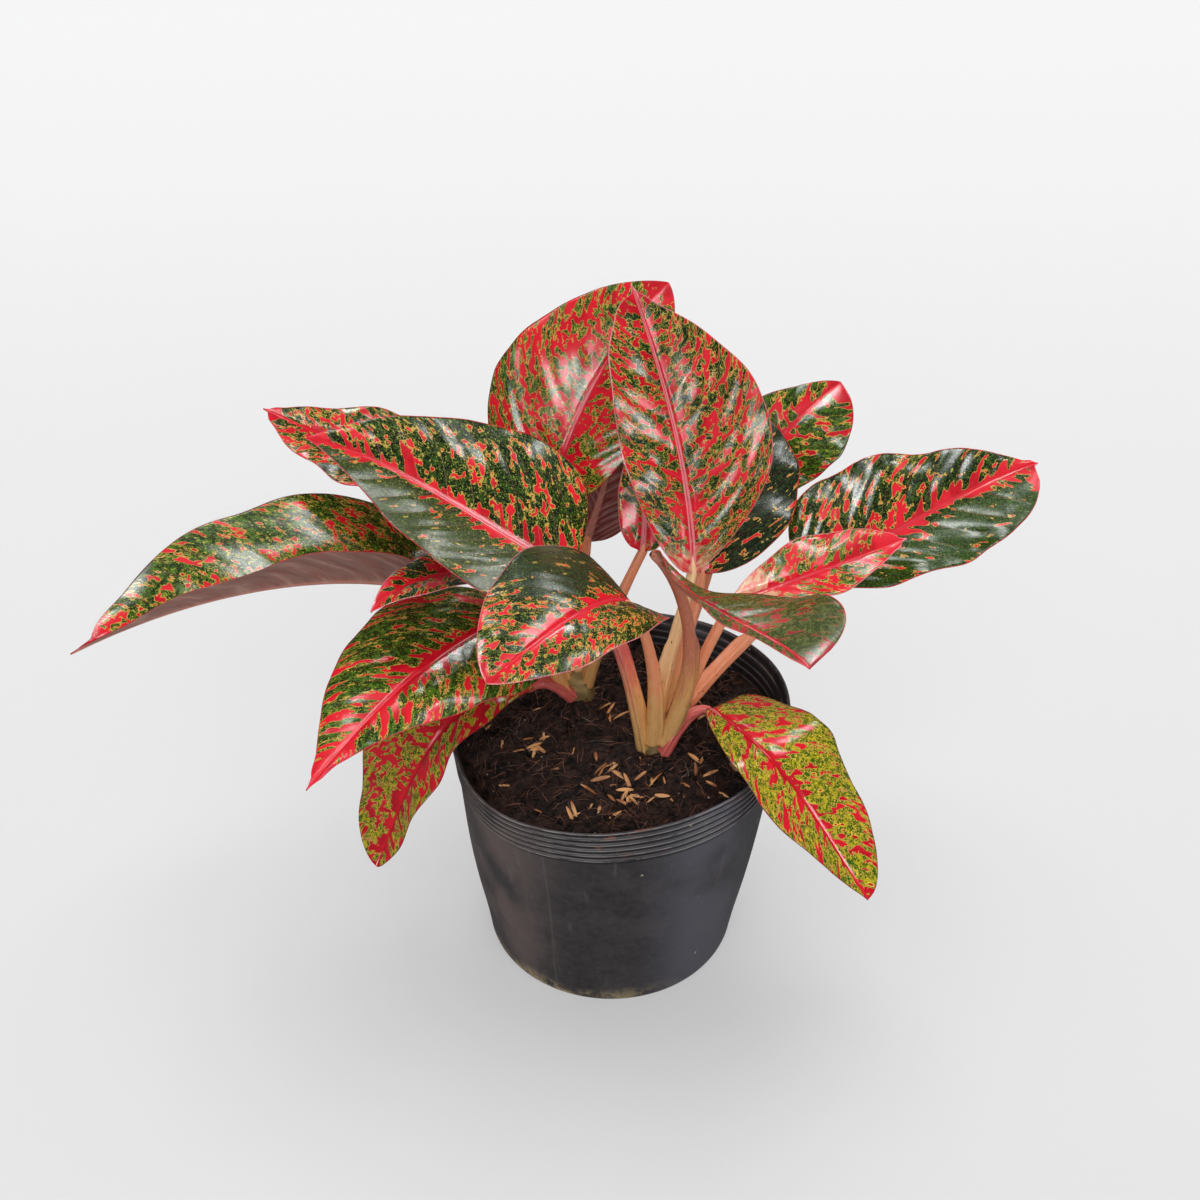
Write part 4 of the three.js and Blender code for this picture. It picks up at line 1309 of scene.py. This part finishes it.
def backdrop():
    """A pale wall round the floor for the low angles. It shows, but neither lights nor shades anything."""
    angle = np.arange(BACKDROP_SIDES) / BACKDROP_SIDES * 2 * math.pi
    foot = np.stack([np.cos(angle), np.sin(angle), angle * 0], -1) * BACKDROP_RADIUS / MM
    top = foot + (0, 0, BACKDROP_HEIGHT / MM)
    shader = Shader("backdrop_paper", (0.0, 0.0, 0.0, 1.0))
    shader.put(shader.surface["Emission Color"], (0.78, 0.78, 0.785, 1.0))
    paper = shader.finish(1.0, Specular_IOR_Level=0.0, Emission_Strength=1.0)
    wall = made_mesh("studio_backdrop", [foot, top], flipped(skin_faces(2, BACKDROP_SIDES)), [paper])
    wall.visible_diffuse = wall.visible_glossy = wall.visible_transmission = wall.visible_shadow = False


def sky_lamp(name, source, width, strength, tint, gloss):
    """A distant lamp that fills width degrees of the sky; source points from the plant to it.

    A lamp for gloss is seen in reflections alone, and any other lamp only lights the surfaces.
    """
    data = bpy.data.lights.new(name, "SUN")
    data.angle = math.radians(width)
    data.energy = strength
    data.color = tint
    made = linked(name, data)
    made.rotation_euler = Vector(source).to_track_quat("Z", "Y").to_euler()
    made.visible_glossy = gloss
    made.visible_diffuse = not gloss


# The windows whose reflections lie on the leaves of the photograph: the way to each from the plant, its width
# in degrees and its strength.
WINDOWS = [
    ((0.34, 0.17, 0.93), 9, 0.5), ((-0.43, 0.04, 0.90), 14, 1.2), ((-0.05, 0.30, 0.95), 6, 0.25),
    ((0.38, 0.47, 0.80), 7, 0.4), ((-0.17, 0.78, 0.60), 8, 0.35),
    ((0.04, -0.93, 0.36), 10, 0.4), ((-0.30, -0.72, 0.62), 13, 0.7), ((-0.61, -0.75, 0.24), 14, 0.7),
    ((0.73, -0.65, 0.21), 13, 0.6),
]


def studio():
    """Broad soft light from above, the front and the rear, a dim dome, and windows seen only in the gloss."""
    sky_lamp("overhead", (0.05, 0.28, 1.0), 50, 2.4, (1.0, 0.995, 0.98), False)
    sky_lamp("front", (0.1, -0.75, 0.62), 60, 1.7, (1.0, 1.0, 1.0), False)
    sky_lamp("rear", (-0.3, 0.85, 0.3), 60, 0.7, (1.0, 1.0, 1.0), False)
    for number, (source, width, strength) in enumerate(WINDOWS):
        sky_lamp(f"window_{number}", source, width, strength, (0.98, 0.99, 1.0), True)
    world = bpy.data.worlds.new("studio_dome")
    bpy.context.scene.world = world
    world.use_nodes = True
    dome = world.node_tree.nodes["Background"].inputs
    dome["Color"].default_value = (0.95, 0.97, 1.0, 1.0)
    dome["Strength"].default_value = 0.14


def camera():
    """The photograph's camera."""
    data = bpy.data.cameras.new("photo_camera")
    data.lens = CAMERA_LENS
    data.sensor_width = CAMERA_SENSOR
    made = linked("photo_camera", data)
    made.location = CAMERA_PLACE
    made.rotation_euler = (math.radians(90 - CAMERA_DOWN), 0, 0)
    bpy.context.scene.camera = made


camera()
pot()
earth_finish = soil_earth()
soil(earth_finish)
soil_litter(earth_finish)
crown_finish = crown_bark()
for number, (crown_name, crown_sizes) in enumerate(CROWNS.items(), 60):
    crown(crown_name, *crown_sizes, crown_finish, number)
for number, (leaf_name, leaf_sizes) in enumerate(LEAVES.items(), 1):
    blade(leaf_name, leaf_sizes, number)
    stalk(leaf_name, leaf_sizes, number)
floor()
backdrop()
studio()
bpy.context.scene.view_settings.view_transform = "Standard"
